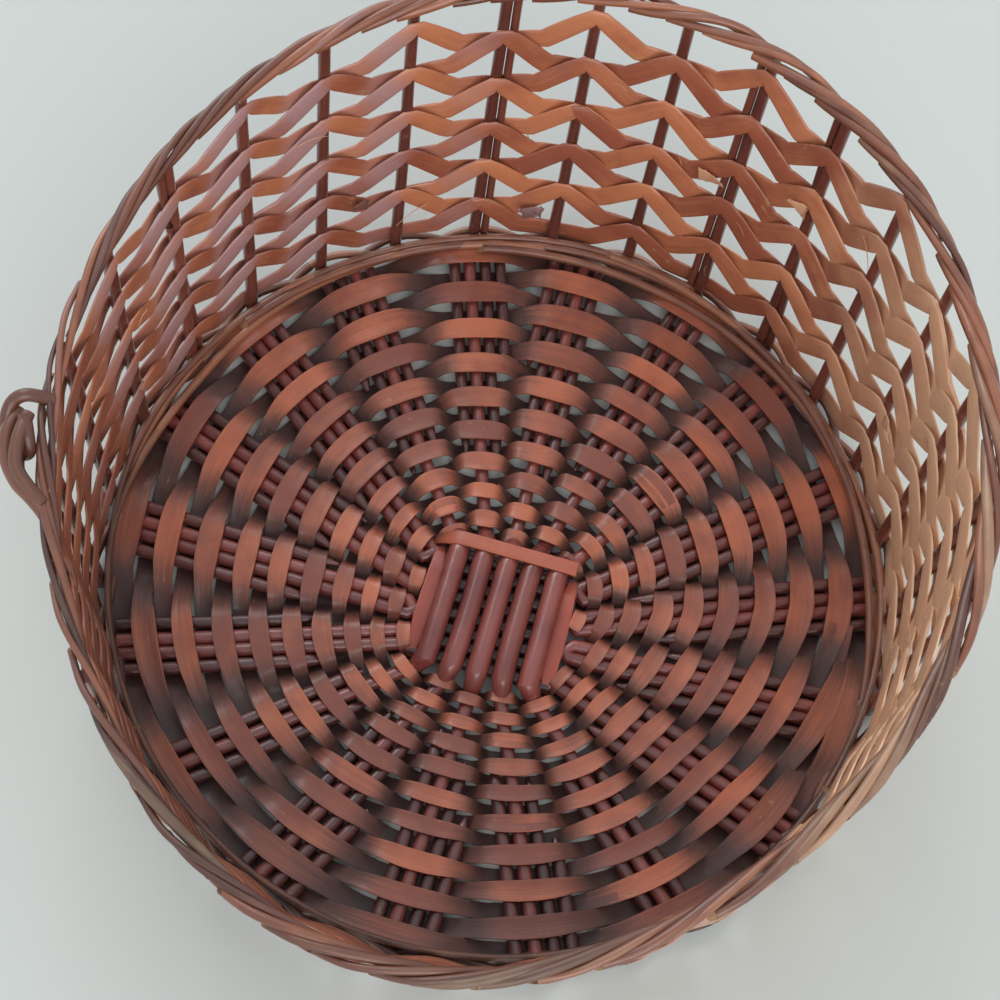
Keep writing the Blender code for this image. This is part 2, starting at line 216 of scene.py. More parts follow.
class SweepTree:
    """Geometry Nodes tree that sweeps chains of points into rods or splints."""

    def __init__(self, section: Section) -> None:
        """Build the tree for one kind of cross-section.

        Args:
            section: Form of the cross-section.
        """
        self.section = section
        self.tree = bpy.data.node_groups.new(f"sweep_{section.value}", "GeometryNodeTree")
        self.sockets: dict[str, str] = {}
        self._add_interface()
        self._add_nodes()

    def _add_interface(self) -> None:
        """Add the named inputs and the output."""
        face = self.tree.interface
        face.new_socket(name="Geometry", in_out="INPUT", socket_type="NodeSocketGeometry")
        face.new_socket(name="Geometry", in_out="OUTPUT", socket_type="NodeSocketGeometry")
        for name, kind in (("Width", "Float"), ("Thickness", "Float"), ("Squareness", "Float"), ("Sides", "Int"),
                           ("Crown Across", "Float"), ("Crown Up", "Float"), ("Wander", "Float"),
                           ("Wander Scale", "Float"), ("Seed", "Int"), ("Swell Axes", "Vector"),
                           ("Finish", "Material")):
            item = face.new_socket(name=name, in_out="INPUT", socket_type=f"NodeSocket{kind}")
            self.sockets[name] = item.identifier

    @staticmethod
    def _named(bench: NodeBench, name: str, kind: str = "FLOAT") -> NodeSocket:
        """Read a named value of the chain."""
        return bench.out("GeometryNodeInputNamedAttribute", {"Name": name}, data_type=kind)

    @staticmethod
    def _store(bench: NodeBench, geometry: object, name: str, value: object, kind: str = "FLOAT") -> NodeSocket:
        """Keep a named value on the geometry.

        Args:
            bench: Where the nodes go.
            geometry: Geometry to keep it on.
            name: Name of the value.
            value: Socket with the value.
            kind: The value's data type.

        Returns:
            The geometry's socket.
        """
        return bench.out("GeometryNodeStoreNamedAttribute", {"Geometry": geometry, "Name": name, "Value": value},
                         data_type=kind, domain="POINT")

    def _profile(self, bench: NodeBench, given: Sockets) -> NodeSocket:
        """Cross-section curve: a circle pressed towards a slab by the squareness.

        Args:
            bench: Where the nodes go.
            given: The tree's own inputs.

        Returns:
            The curve's socket.
        """
        circle = bench.out("GeometryNodeCurvePrimitiveCircle", {"Resolution": given["Sides"], "Radius": 1.0},
                           mode="RADIUS")
        place = bench.add("ShaderNodeSeparateXYZ", {0: bench.out("GeometryNodeInputPosition")})
        power = bench.math("SUBTRACT", 1.0, given["Squareness"])
        signed = []
        for axis in (0, 1):
            reach = bench.math("POWER", bench.math("ABSOLUTE", place.outputs[axis]), power)
            signed.append(bench.math("MULTIPLY", reach, bench.math("SIGN", place.outputs[axis])))
        parts = []
        for axis, size, crown in ((0, "Width", "Crown Across"), (1, "Thickness", "Crown Up")):
            side = signed[1 - axis]
            bow = bench.math("SUBTRACT", 1.0, bench.math("MULTIPLY", side, side))
            flat = bench.math("MULTIPLY", signed[axis], bench.math("MULTIPLY", given[size], 0.5))
            parts.append(bench.math("ADD", flat, bench.math("MULTIPLY", bow, given[crown])))
        spot = bench.out("ShaderNodeCombineXYZ", {0: parts[0], 1: parts[1], 2: 0.0})
        shaped = bench.out("GeometryNodeSetPosition", {"Geometry": circle, "Position": spot})
        return self._store(bench, shaped, "section", bench.out("GeometryNodeInputPosition"), "FLOAT_VECTOR")

    def _add_nodes(self) -> None:
        """Fill the tree."""
        bench = NodeBench(self.tree)
        given = bench.add("NodeGroupInput").outputs
        curve = bench.out("GeometryNodeMeshToCurve", {0: given["Geometry"]})
        noise = bench.add("ShaderNodeTexNoise", {
            "Vector": bench.out("GeometryNodeInputPosition"), "W": given["Seed"], "Scale": given["Wander Scale"],
            "Detail": 1.0}, noise_dimensions="4D")
        drift = bench.scaled(bench.vector("SUBTRACT", noise.outputs["Color"], (0.5, 0.5, 0.5)), given["Wander"])
        loose = bench.scaled(drift, self._named(bench, "loose"))
        curve = bench.out("GeometryNodeSetPosition", {"Geometry": curve, "Offset": loose})
        length = bench.add("GeometryNodeSplineParameter").outputs["Length"]
        curve = self._store(bench, curve, "run", length)
        curve = self._store(bench, curve, "core", bench.out("GeometryNodeInputPosition"), "FLOAT_VECTOR")
        curve = bench.out("GeometryNodeSetCurveNormal", {"Curve": curve}, mode="Z_UP")
        body = bench.out("GeometryNodeCurveToMesh", {
            "Curve": curve, "Profile Curve": self._profile(bench, given), "Scale": self._named(bench, "girth"),
            "Fill Caps": True})
        off = bench.vector("SUBTRACT", bench.out("GeometryNodeInputPosition"),
                           self._named(bench, "core", "FLOAT_VECTOR"))
        more = bench.math("SUBTRACT", self._named(bench, "swell"), 1.0)
        swell = bench.scaled(bench.vector("MULTIPLY", off, given["Swell Axes"]), more)
        lift = bench.add("ShaderNodeSeparateXYZ", {0: off}).outputs[2]
        slant = bench.scaled(self._named(bench, "cut", "FLOAT_VECTOR"), bench.math("MULTIPLY", lift, -1.0))
        body = bench.out("GeometryNodeSetPosition", {"Geometry": body, "Offset": bench.vector("ADD", swell, slant)})
        section = bench.add("ShaderNodeSeparateXYZ", {0: self._named(bench, "section", "FLOAT_VECTOR")})
        start = bench.math("MULTIPLY_ADD", self._named(bench, "tone"), 7.0, self._named(bench, "run"))
        grain = bench.out("ShaderNodeCombineXYZ", {0: start, 1: section.outputs[0], 2: section.outputs[1]})
        body = self._store(bench, body, "grain", grain, "FLOAT_VECTOR")
        body = bench.out("GeometryNodeRealizeInstances", {0: body})
        body = bench.out("GeometryNodeSetMaterial", {"Geometry": body, "Material": given["Finish"]})
        bench.add("NodeGroupOutput", {0: body})


# ---- Strands


@dataclass
class Strand:
    """One rod or splint as a chain of points with its values."""

    points: list[Vector]
    girth: Union[float, list[float]] = 1.0
    swell: Union[float, list[float]] = 1.0
    # show: how much of the strand lies open; the less it shows, the more painted shade it gets
    show: Union[float, list[float]] = 1.0
    loose: Union[float, list[float]] = 1.0
    # tint: below 0 a painted reflection, above 0 painted light
    tint: Union[float, list[float]] = 0.0
    shade: Union[float, list[float]] = 0.0
    lean: Optional[list[Vector]] = None
    tone: float = 0.5
    cut_start: float = 0.0
    cut_end: float = 0.0
    pale: tuple[float, float] = (0.0, 0.0)

    def values(self, name: str) -> list[float]:
        """Values of one kind, one for each point."""
        value = getattr(self, name)
        return list(value) if isinstance(value, list) else [value] * len(self.points)

    def with_ends(self, inset: float = 0.4 * MM) -> "Strand":
        """Copy with an extra point just inside each end, which keeps a cut face narrow.

        Args:
            inset: How far inside the end the extra point lies.

        Returns:
            The copy.
        """
        points = list(self.points)
        first = points[0] + (points[1] - points[0]).normalized() * inset
        last = points[-1] + (points[-2] - points[-1]).normalized() * inset
        lists = {}
        for name in ("girth", "swell", "show", "loose", "tint", "shade"):
            values = self.values(name)
            lists[name] = [values[0], values[0]] + values[1:-1] + [values[-1], values[-1]]
        lean = self.lean and [self.lean[0], self.lean[0]] + self.lean[1:-1] + [self.lean[-1], self.lean[-1]]
        return Strand(points=[points[0], first] + points[1:-1] + [last, points[-1]], tone=self.tone, lean=lean,
                      cut_start=self.cut_start, cut_end=self.cut_end, pale=self.pale, **lists)


@dataclass
class Bundle:
    """Strands that are swept together into one piece."""

    name: str
    section: Section
    width: float
    thickness: float
    finish: Material
    squareness: float = 0.0
    crown: tuple[float, float] = (0.0, 0.0)
    sides: int = 12
    wander: float = 0.0
    wander_scale: float = 40.0
    seed: int = 1
    swell_axes: tuple[float, float, float] = (0.0, 0.0, 0.0)
    strands: list[Strand] = field(default_factory=list)

    def _chain_mesh(self) -> Mesh:
        """Edges of all the strands, with their values.

        Returns:
            A mesh of edges with the values as attributes.
        """
        verts: list[Vector] = []
        edges: list[tuple[int, int]] = []
        names = ("girth", "swell", "show", "loose", "tint", "shade")
        values: dict[str, list[float]] = {name: [] for name in names + ("tone", "pale")}
        cuts: list[Vector] = []
        for strand in (one.with_ends() for one in self.strands):
            start = len(verts)
            count = len(strand.points)
            verts += strand.points
            edges += [(start + i, start + i + 1) for i in range(count - 1)]
            for name in names:
                values[name] += strand.values(name)
            values["tone"] += [strand.tone] * count
            values["pale"] += [strand.pale[0]] + [0.0] * (count - 2) + [strand.pale[1]]
            first = (strand.points[0] - strand.points[1]).normalized() * strand.cut_start
            last = (strand.points[-1] - strand.points[-2]).normalized() * strand.cut_end
            lean = strand.lean or [Vector()] * count
            cuts += [first + lean[0]] + lean[1:-1] + [last + lean[-1]]
        mesh = bpy.data.meshes.new(self.name + "_chains")
        mesh.from_pydata(verts, edges, [])
        for name, row in values.items():
            mesh.attributes.new(name, "FLOAT", "POINT").data.foreach_set("value", row)
        flat = [part for cut in cuts for part in cut]
        mesh.attributes.new("cut", "FLOAT_VECTOR", "POINT").data.foreach_set("vector", flat)
        return mesh

    def sweep(self, trees: dict[Section, SweepTree]) -> Object:
        """Sweep the strands into a plain mesh.

        Args:
            trees: The sweep tree of each kind of section.

        Returns:
            The finished piece, at the origin.
        """
        tree = trees[self.section]
        source = make_object(self.name + "_source", self._chain_mesh())
        modifier = source.modifiers.new("sweep", "NODES")
        modifier.node_group = tree.tree
        for name, value in (("Width", self.width), ("Thickness", self.thickness), ("Squareness", self.squareness),
                            ("Sides", self.sides), ("Crown Across", self.crown[0]), ("Crown Up", self.crown[1]),
                            ("Wander", self.wander), ("Wander Scale", self.wander_scale),
                            ("Seed", self.seed), ("Swell Axes", self.swell_axes), ("Finish", self.finish)):
            modifier[tree.sockets[name]] = value
        graph = bpy.context.evaluated_depsgraph_get()
        mesh = bpy.data.meshes.new_from_object(source.evaluated_get(graph), depsgraph=graph)
        source.modifiers.remove(modifier)
        bpy.data.objects.remove(source, do_unlink=True)
        mesh.name = self.name
        for name in ("core", "section", "cut", "run", "girth", "swell", "loose"):
            attribute = mesh.attributes.get(name)
            if attribute:
                mesh.attributes.remove(attribute)
        mesh.shade_smooth()
        mesh.set_sharp_from_angle(angle=math.radians(48.0))
        return make_object(self.name, mesh)


# ---- Finishes


class EffectGroups:
    """Shader node groups that the finishes share."""

    def __init__(self) -> None:
        """Build each group once."""
        self.fibre = self._fibre()
        self.stain = self._stain()
        self.scuff = self._scuff()

    @staticmethod
    def _group(name: str, inputs: Iterable[tuple[str, str, object]], outputs: Iterable[tuple[str, str]]
               ) -> tuple[NodeTree, NodeBench, Sockets]:
        """Start a group with its sockets.

        Args:
            name: The group's name.
            inputs: Name, kind and default of each input.
            outputs: Name and kind of each output.

        Returns:
            The group, a bench on it and its own inputs.
        """
        tree = bpy.data.node_groups.new(name, "ShaderNodeTree")
        for label, kind, value in inputs:
            socket = tree.interface.new_socket(name=label, in_out="INPUT", socket_type=f"NodeSocket{kind}")
            if value is not None:
                socket.default_value = value
        for label, kind in outputs:
            tree.interface.new_socket(name=label, in_out="OUTPUT", socket_type=f"NodeSocket{kind}")
        bench = NodeBench(tree)
        return tree, bench, bench.add("NodeGroupInput").outputs

    def _fibre(self) -> NodeTree:
        """Long fibres that follow a rod or splint.

        Returns:
            The node group.
        """
        tree, bench, given = self._group(
            "willow_fibre",
            (("Grain", "Vector", None), ("Along", "Float", 30.0), ("Across", "Float", 900.0)),
            (("Streak", "Float"), ("Height", "Float")))
        stretch = bench.out("ShaderNodeCombineXYZ", {0: given["Along"], 1: given["Across"], 2: given["Across"]})
        place = bench.vector("MULTIPLY", given["Grain"], stretch)
        broad = bench.out("ShaderNodeTexNoise", {"Vector": place, "Scale": 1.0, "Detail": 5.0, "Roughness": 0.62,
                                                 "Distortion": 0.4})
        fine = bench.out("ShaderNodeTexNoise", {"Vector": place, "Scale": 3.1, "Detail": 3.0, "Roughness": 0.7})
        ridge = bench.span(fine, 0.35, 0.68)
        streak = bench.math("ADD", bench.math("MULTIPLY", bench.span(broad, 0.3, 0.7), 0.65),
                            bench.math("MULTIPLY", ridge, 0.35))
        height = bench.math("ADD", bench.math("MULTIPLY", broad, 0.6), bench.math("MULTIPLY", ridge, 0.4))
        bench.add("NodeGroupOutput", {0: streak, 1: height})
        return tree

    def _stain(self) -> NodeTree:
        """Brown stain, uneven along a rod or splint, with painted shade where a splint dives or lies hidden, and the
        painted reflection and painted light given by the tint.

        Returns:
            The node group.
        """
        tree, bench, given = self._group(
            "willow_stain",
            (("Grain", "Vector", None), ("Streak", "Float", 0.5), ("Show", "Float", 1.0), ("Tone", "Float", 0.5),
             ("Light", "Color", (1, 1, 1, 1)), ("Main", "Color", (1, 1, 1, 1)), ("Dark", "Color", (1, 1, 1, 1)),
             ("Tint", "Float", 0.0), ("Haze", "Color", (1, 1, 1, 1)), ("Bleach", "Color", (1, 1, 1, 1)),
             ("Patchiness", "Float", 1.0)),
            (("Color", "Color"), ("Darkness", "Float")))
        patch = bench.out("ShaderNodeTexNoise", {"Vector": given["Grain"], "Scale": 42.0, "Detail": 3.0,
                                                 "Roughness": 0.55})
        patch = bench.math("MULTIPLY", bench.math("SUBTRACT", patch, 0.5), given["Patchiness"])
        level = bench.math("ADD", bench.math("MULTIPLY", given["Streak"], 0.24),
                           bench.math("MULTIPLY", given["Tone"], 0.6))
        level = bench.math("ADD", level, bench.math("MULTIPLY", patch, 1.7))
        body = bench.mix(bench.span(level, 0.0, 0.9), given["Main"], given["Light"])
        # Painted shade: the dark colour comes in where the strand shows little, and in random dark patches.
        low = bench.math("SUBTRACT", 1.0, given["Show"])
        low = bench.math("ADD", low, bench.math("MULTIPLY", patch, 1.3))
        low = bench.math("ADD", low, bench.math("MULTIPLY", bench.math("SUBTRACT", 0.5, given["Streak"]), 0.2))
        dark = bench.span(low, 0.1, 1.05)
        colour = bench.mix(dark, body, given["Dark"])
        # Painted reflection where the tint is below 0, painted light where it is above 0.
        tint = bench.math("ADD", given["Tint"], bench.math("MULTIPLY", patch, 0.8))
        haze = bench.math("MULTIPLY", bench.span(bench.math("MULTIPLY", tint, -1.0), 0.1, 1.2), 0.8)
        colour = bench.mix(haze, colour, given["Haze"])
        bleach = bench.math("MULTIPLY", bench.span(tint, 0.1, 1.0), 0.8)
        colour = bench.mix(bleach, colour, given["Bleach"])
        bench.add("NodeGroupOutput", {0: colour, 1: dark})
        return tree

    def _scuff(self) -> NodeTree:
        """Small pale nicks and rubbed specks.

        Returns:
            The node group.
        """
        tree, bench, given = self._group(
            "willow_scuff",
            (("Grain", "Vector", None), ("Amount", "Float", 0.5)),
            (("Mask", "Float"),))
        stretch = bench.vector("MULTIPLY", given["Grain"], (260.0, 700.0, 700.0))
        speck = bench.out("ShaderNodeTexNoise", {"Vector": stretch, "Scale": 1.0, "Detail": 4.0, "Roughness": 0.75})
        area = bench.out("ShaderNodeTexNoise", {"Vector": given["Grain"], "Scale": 25.0, "Detail": 2.0})
        edge = bench.math("ADD", speck, bench.math("MULTIPLY", bench.math("SUBTRACT", area, 0.5), 0.6))
        level = bench.math("SUBTRACT", 0.76, bench.math("MULTIPLY", given["Amount"], 0.2))
        mask = bench.math("GREATER_THAN", edge, level)
        near = bench.math("MULTIPLY", bench.math("SUBTRACT", edge, level), 14.0)
        bench.add("NodeGroupOutput", {0: bench.math("MULTIPLY", mask, bench.out("ShaderNodeClamp", {0: near}))})
        return tree


@dataclass(frozen=True)
class WillowFinish:
    """Stained and varnished willow, with painted shade, painted reflection and painted light."""

    name: str
    light: Colour
    main: Colour
    # dark: painted shade where the strand shows little, and the darker random patches
    dark: Colour
    pale: Colour = srgb(190, 150, 108)
    # Colours of the painted reflection and of the painted light.
    haze: Colour = srgb(182, 148, 150)
    bleach: Colour = srgb(242, 198, 158)
    along: float = 32.0
    across: float = 900.0
    rough: float = 0.42
    rough_dark: float = 0.6
    coat: float = 0.25
    coat_rough: float = 0.22
    relief: float = 0.00012
    scuffs: float = 0.35
    patchiness: float = 1.0

    def build(self, effects: EffectGroups) -> Material:
        """Make the material.

        Args:
            effects: The shared node groups.

        Returns:
            The material, reading the strand's own values.
        """
        material = bpy.data.materials.new(self.name)
        material.use_nodes = True
        bench = NodeBench(material.node_tree)
        grain = bench.add("ShaderNodeAttribute", attribute_name="grain").outputs["Vector"]
        tone, shade, show, pale, tint = (bench.add("ShaderNodeAttribute", attribute_name=name).outputs["Fac"]
                                         for name in ("tone", "shade", "show", "pale", "tint"))
        fibre = bench.add("ShaderNodeGroup", {"Grain": grain, "Along": self.along, "Across": self.across},
                          node_tree=effects.fibre).outputs
        stain = bench.add("ShaderNodeGroup", {
            "Grain": grain, "Streak": fibre["Streak"], "Show": show, "Tone": bench.math("ADD", tone, shade),
            "Light": self.light, "Main": self.main, "Dark": self.dark, "Haze": self.haze, "Bleach": self.bleach,
            "Patchiness": self.patchiness, "Tint": tint}, node_tree=effects.stain).outputs
        scuff = bench.out("ShaderNodeGroup", {"Grain": grain, "Amount": self.scuffs}, node_tree=effects.scuff)
        worn = bench.mix(bench.math("MULTIPLY", scuff, 0.5), stain["Color"], self.pale)
        rough = bench.span(stain["Darkness"], 0.0, 1.0, self.rough, self.rough_dark)
        bump = bench.out("ShaderNodeBump", {"Strength": 0.55, "Distance": self.relief, "Height": fibre["Height"]})
        bench.feed(material.node_tree.nodes["Principled BSDF"], {
            "Base Color": bench.mix(bench.span(pale, 0.35, 0.75), worn, self.pale),
            "Roughness": bench.math("ADD", rough, bench.math("MULTIPLY", fibre["Streak"], -0.1)),
            "Normal": bump, "Coat Weight": self.coat, "Coat Roughness": self.coat_rough, "Specular IOR Level": 0.5})
        return material


# ---- Form of the basket


@dataclass(frozen=True)
class BasketForm:
    """The CAD model's driving sizes, and where its wall and floor run."""

    floor_radius: float = 123 * MM
    rim_half_width: float = 121 * MM
    rim_half_length: float = 137 * MM
    rim_shift: float = 3 * MM
    rim_rise: float = 10 * MM
    corner_draw: float = 0.032
    near_stretch: float = 0.012
    height: float = 96 * MM
    edge_top: float = 6.5 * MM
    centre_y: float = -3 * MM
    stakes: int = 28
    stake_radius: float = 2.0 * MM
    groups: int = 18
    stick_radius: float = 2.4 * MM
    floor_mid: float = 3.4 * MM
    weaver_rise: float = 3.05 * MM
    slath_x: float = 3 * MM
    slath_y: float = -18 * MM
    weave_inner: float = 28.0 * MM
    weave_outer: float = 119.0 * MM
    weave_squareness: float = 4.0 * MM
    weave_bulge: float = 1.0 * MM
    lanes: int = 18
    # Painted reflection on the far left of the wall and painted light on the right: where each is centred and its
    # strength.
    reflection_side: float = math.radians(148.0)
    haze: float = 0.62
    lit_side: float = math.radians(-5.0)
    bleach: float = 1.12

    def _halves(self, angle: float, height: float) -> tuple[float, float, float]:
        """Half width, half length and share of the height, with the near side drawn out and its corners in.

        Args:
            angle: Direction from the middle.
            height: Height above the ground.

        Returns:
            Half width, half length and the height as a share of the rim's.
        """
        share = height / self.height
        near = 1.0 if math.sin(angle) < 0.0 else 0.0
        draw = 1.0 + share * near * (self.near_stretch * math.sin(angle) ** 2
                                     - self.corner_draw * math.sin(2.0 * angle) ** 2)
        return (blend(self.floor_radius, self.rim_half_width, share) * draw,
                blend(self.floor_radius, self.rim_half_length, share) * draw, share)

    def outward(self, angle: float, height: float) -> Vector:
        """Level direction out of the wall."""
        half_x, half_y, _ = self._halves(angle, height)
        return Vector((math.cos(angle) / half_x, math.sin(angle) / half_y, 0.0)).normalized()

    def wall(self, angle: float, height: float, outset: float = 0.0) -> Vector:
        """Point on the line of the stakes, or outset from it.

        Args:
            angle: Direction from the middle.
            height: Height up the wall on its lowest side.
            outset: Distance outwards from the line.

        Returns:
            The point.
        """
        half_x, half_y, share = self._halves(angle, height)
        above = max(0.0, (height - self.edge_top) / (self.height - self.edge_top))
        spot = Vector((half_x * math.cos(angle), half_y * math.sin(angle) + self.rim_shift * share + self.centre_y,
                       height + self.rim_rise * above * math.sin(angle)))
        return spot + self.outward(angle, height) * outset

    def slath_centre(self) -> Vector:
        """Point on the ground below the middle of the slath."""
        return Vector((self.slath_x, self.slath_y + self.centre_y, 0.0))

    def stake_angle(self, index: float) -> float:
        """Where a stake stands."""
        return (index + 0.5) * TURN / self.stakes

    def group_angle(self, index: float) -> float:
        """Direction of a group of floor rods."""
        return (index + 0.5) * TURN / self.groups

    def wall_slope(self, angle: float) -> float:
        """How far the wall leans out for each unit of height."""
        low, high = self.wall(angle, self.edge_top), self.wall(angle, self.height)
        return (high - low).dot(self.outward(angle, self.height)) / (high.z - low.z)

    def wall_tint(self, angle: float, sheen: float = 1.0) -> float:
        """Painted reflection on the far left of the wall, more so with more sheen, and painted light on the right.

        Args:
            angle: Direction from the middle.
            sheen: Strength of the painted reflection.

        Returns:
            A tint below 0 where the reflection is painted and above 0 where the light is painted.
        """
        haze = max(0.0, math.cos(angle - self.reflection_side)) ** 4
        bleach = max(0.0, math.cos(angle - self.lit_side)) ** 2
        return self.bleach * bleach - haze * self.haze * sheen

    @staticmethod
    def _way_out(share: float) -> float:
        """Share of the way from the slath to the edge, with the inner rounds closer together."""
        return share * (0.7 + 0.3 * share)

    def round_radius(self, angle: float, share: float) -> float:
        """Radius of a round of weaving: squarish and close next to the slath, round and wide further out.

        Args:
            angle: Direction from the middle.
            share: 0 at the innermost round and 1 at the outermost.

        Returns:
            The radius.
        """
        inner = self.weave_inner - self.weave_squareness * math.cos(2.0 * angle) ** 2
        outer = self.weave_outer + self.weave_bulge * smooth(-1.4 * math.sin(angle))
        return blend(inner, outer, self._way_out(share))

    def floor(self, angle: float, share: float, height: float) -> Vector:
        """Point on the floor.

        Args:
            angle: Direction from the middle of the round.
            share: 0 at the innermost round and 1 at the outermost.
            height: Height above the ground.

        Returns:
            The point.
        """
        radius = self.round_radius(angle, share)
        fade = 1.0 - self._way_out(share)
        return Vector((self.slath_x * fade + radius * math.cos(angle),
                       self.slath_y * fade + radius * math.sin(angle) + self.centre_y, height))


@dataclass
class SubAssembly:
    """Base of the basket's sub-assemblies."""

    form: BasketForm
    finishes: dict[str, Material]
    trees: dict[Section, SweepTree]

    def bundle(self, name: str, finish: str, width: float, thickness: float = 0.0, **more: object) -> Bundle:
        """Empty bundle of flat splints, or of round rods if no thickness is given."""
        section = Section.FLAT if thickness else Section.ROUND
        return Bundle(name, section, width, thickness or width, self.finishes[finish], **more)

    def place(self, bundle: Bundle, slot: str, nodes: Iterable[str]) -> None:
        """Sweep a bundle and hand it to the frame.

        Args:
            bundle: Strands of the piece.
            slot: The record's material slot; not used.
            nodes: CAD nodes that the piece stands for.
        """
        piece = bundle.sweep(self.trees)
        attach(piece, "root")
        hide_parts(*nodes)
        LOG.info("%s: %d strands, %d faces", piece.name, len(bundle.strands), len(piece.data.polygons))


@dataclass
class FloorSticks(SubAssembly):
    """Long sticks, cross sticks and the side rods pushed in next to them."""

    long_pitch: float = 7.9 * MM
    cross_pitch: float = 10 * MM
    long_height: float = 8.25 * MM
    rod_radius: float = 3.4 * MM
    arm_radius: float = 2.2 * MM
    side_radius: float = 2.05 * MM
    side_gap: float = 4.5 * MM
    side_spread: float = 5.4 * MM
    wide_groups: tuple[int, ...] = (16, 17, 0, 1, 7, 8, 9, 10)
    wide_gap: float = 6.5 * MM
    wide_spread: float = 7.4 * MM
    third_rod_chance: float = 0.6
    third_rod_place: float = 1.95
    slath_half: float = 21.3 * MM
    long_inset: float = 1.5 * MM
    pair_offset: float = 2.45 * MM
    pair_beside: float = 2.2 * MM
    cross_girth: float = 0.98
    bend_steps: int = 4
    middle_steps: int = 8
    side_steps: int = 22
    seed: int = 11

    def _arm(self, group: int, bend: Vector, beside: float = 0.0, steps: int = 26) -> list[Vector]:
        """Points from the slath's edge to the floor's edge along a group.

        Args:
            group: Number of the group.
            bend: End of the stick's straight middle.
            beside: Distance off the middle of the group.
            steps: Stretches of the chain.

        Returns:
            The chain, from the middle outwards.
        """
        angle = self.form.group_angle(group)
        across = Vector((-math.sin(angle), math.cos(angle), 0.0)) * beside
        points = [self.form.floor(angle, 0.03 + share * 0.96, self.form.floor_mid) + across
                  for share in shares(steps)]
        falls = [bend.lerp(points[0], part) for part in (0.35, 0.7)]
        falls[0].z = blend(bend.z, points[0].z, 0.25)
        falls[1].z = blend(bend.z, points[0].z, 0.8)
        return falls + points

    def _stick(self, groups: tuple[int, int], offset: float, along: Vector, half: float, height: float,
               rng: random.Random, beside: float = 0.0) -> Strand:
        """One stick through the slath, splayed at both ends; beside shifts it off the middle of its groups.

        Args:
            groups: Groups that the two ends run to.
            offset: Place of the stick across its direction.
            along: Direction of the straight middle.
            half: Half length of the straight middle.
            height: Height of the straight middle.
            rng: Source of the small irregularities.
            beside: Distance off the middle of the groups.

        Returns:
            The stick.
        """
        centre = self.form.slath_centre()
        across = Vector((along.y, -along.x, 0.0))
        ends = [centre + across * offset + along * hand * half + UP * height for hand in (-1.0, 1.0)]
        near, far = self._arm(groups[0], ends[0], -beside), self._arm(groups[1], ends[1], beside)
        middle = [ends[0].lerp(ends[1], share) for share in shares(self.middle_steps)]
        sway = rng.uniform(-0.5, 0.5) * MM
        for step, point in enumerate(middle):
            point += across * sway * math.sin(math.pi * step / self.middle_steps)
        points = list(reversed(near)) + middle + far
        thick, bends = self.rod_radius / self.arm_radius, range(self.bend_steps)
        girth = [1.0] * (len(near) - self.bend_steps) + [blend(1.0, thick, i / self.bend_steps) for i in bends]
        girth += [thick] * len(middle) + [blend(thick, 1.0, i / self.bend_steps) for i in bends]
        girth += [1.0] * (len(far) - self.bend_steps)
        # Painted shade on the middles of the cross sticks, under the long sticks.
        hidden = 0.9 if height > self.form.floor_mid else 0.1
        show = [0.85] * len(near) + [hidden] * len(middle) + [0.85] * len(far)
        return Strand(points, girth=girth, show=show, tone=rng.random())

    def _side_rods(self, group: int, rng: random.Random) -> list[Strand]:
        """Rods pushed in beside a stick, with pointed inner ends.

        Args:
            group: Number of the group.
            rng: Source of the small irregularities.

        Returns:
            The rods of the group.
        """
        strands = []
        hands = [-1.0, 1.0]
        doubled = group in self.wide_groups
        first = self.wide_gap if doubled else self.side_gap
        spread = self.wide_spread if doubled else self.side_spread
        places = [(hand, first, spread, rng.uniform(0.24, 0.42)) for hand in hands]
        if not doubled and rng.random() < self.third_rod_chance:
            places.append((rng.choice(hands) * self.third_rod_place, first, spread, rng.uniform(0.55, 0.7)))
        angle = self.form.group_angle(group)
        out = Vector((math.cos(angle), math.sin(angle), 0.0))
        across = out.cross(UP)
        for hand, gap, spread, start in places:
            points, girth = [], []
            drop = rng.uniform(-0.3, 0.3) * MM
            for step in range(self.side_steps + 1):
                share = blend(start, 0.985, step / self.side_steps)
                shift = blend(gap, spread, share) * hand
                points.append(self.form.floor(angle, share, self.form.floor_mid + drop) + across * shift)
                girth.append(min(1.0, 0.35 + step * 0.22) * rng.uniform(0.97, 1.03))
            strands.append(Strand(points, girth=girth, show=0.7, tone=rng.random()))
        return strands

    def build(self) -> None:
        """Make the sticks and their side rods."""
        rng = random.Random(self.seed)
        form = self.form
        sticks = self.bundle("floor_sticks", "slath_rod", 2 * self.arm_radius, wander=0.5 * MM, wander_scale=35.0,
                             seed=3, sides=14)
        quarter = form.groups // 2
        for number in range(5):
            groups = (2 + quarter + number, 2 + 4 - number)
            sticks.strands.append(self._stick(groups, (number - 2) * self.long_pitch, Vector((0.0, 1.0, 0.0)),
                                              self.slath_half - self.long_inset, self.long_height, rng))
        for number in range(4):
            groups = (-2 + quarter + 3 - number, -2 + number)
            for hand in (-1.0, 1.0):
                offset = -(number - 1.5) * self.cross_pitch + hand * self.pair_offset
                stick = self._stick(groups, offset, Vector((1.0, 0.0, 0.0)), self.slath_half, form.floor_mid, rng,
                                    hand * self.pair_beside)
                stick.girth = self.cross_girth
                sticks.strands.append(stick)
        nodes = [f"long_stick_{n}" for n in range(1, 6)] + [f"cross_stick_{n}" for n in range(1, 5)]
        self.place(sticks, "slath_rod", nodes)
        rods = self.bundle("side_rods", "floor_rod", 2 * self.side_radius, wander=0.9 * MM, wander_scale=30.0,
                           seed=4)
        for group in range(form.groups):
            rods.strands += self._side_rods(group, rng)
        self.place(rods, "slath_rod", nodes)


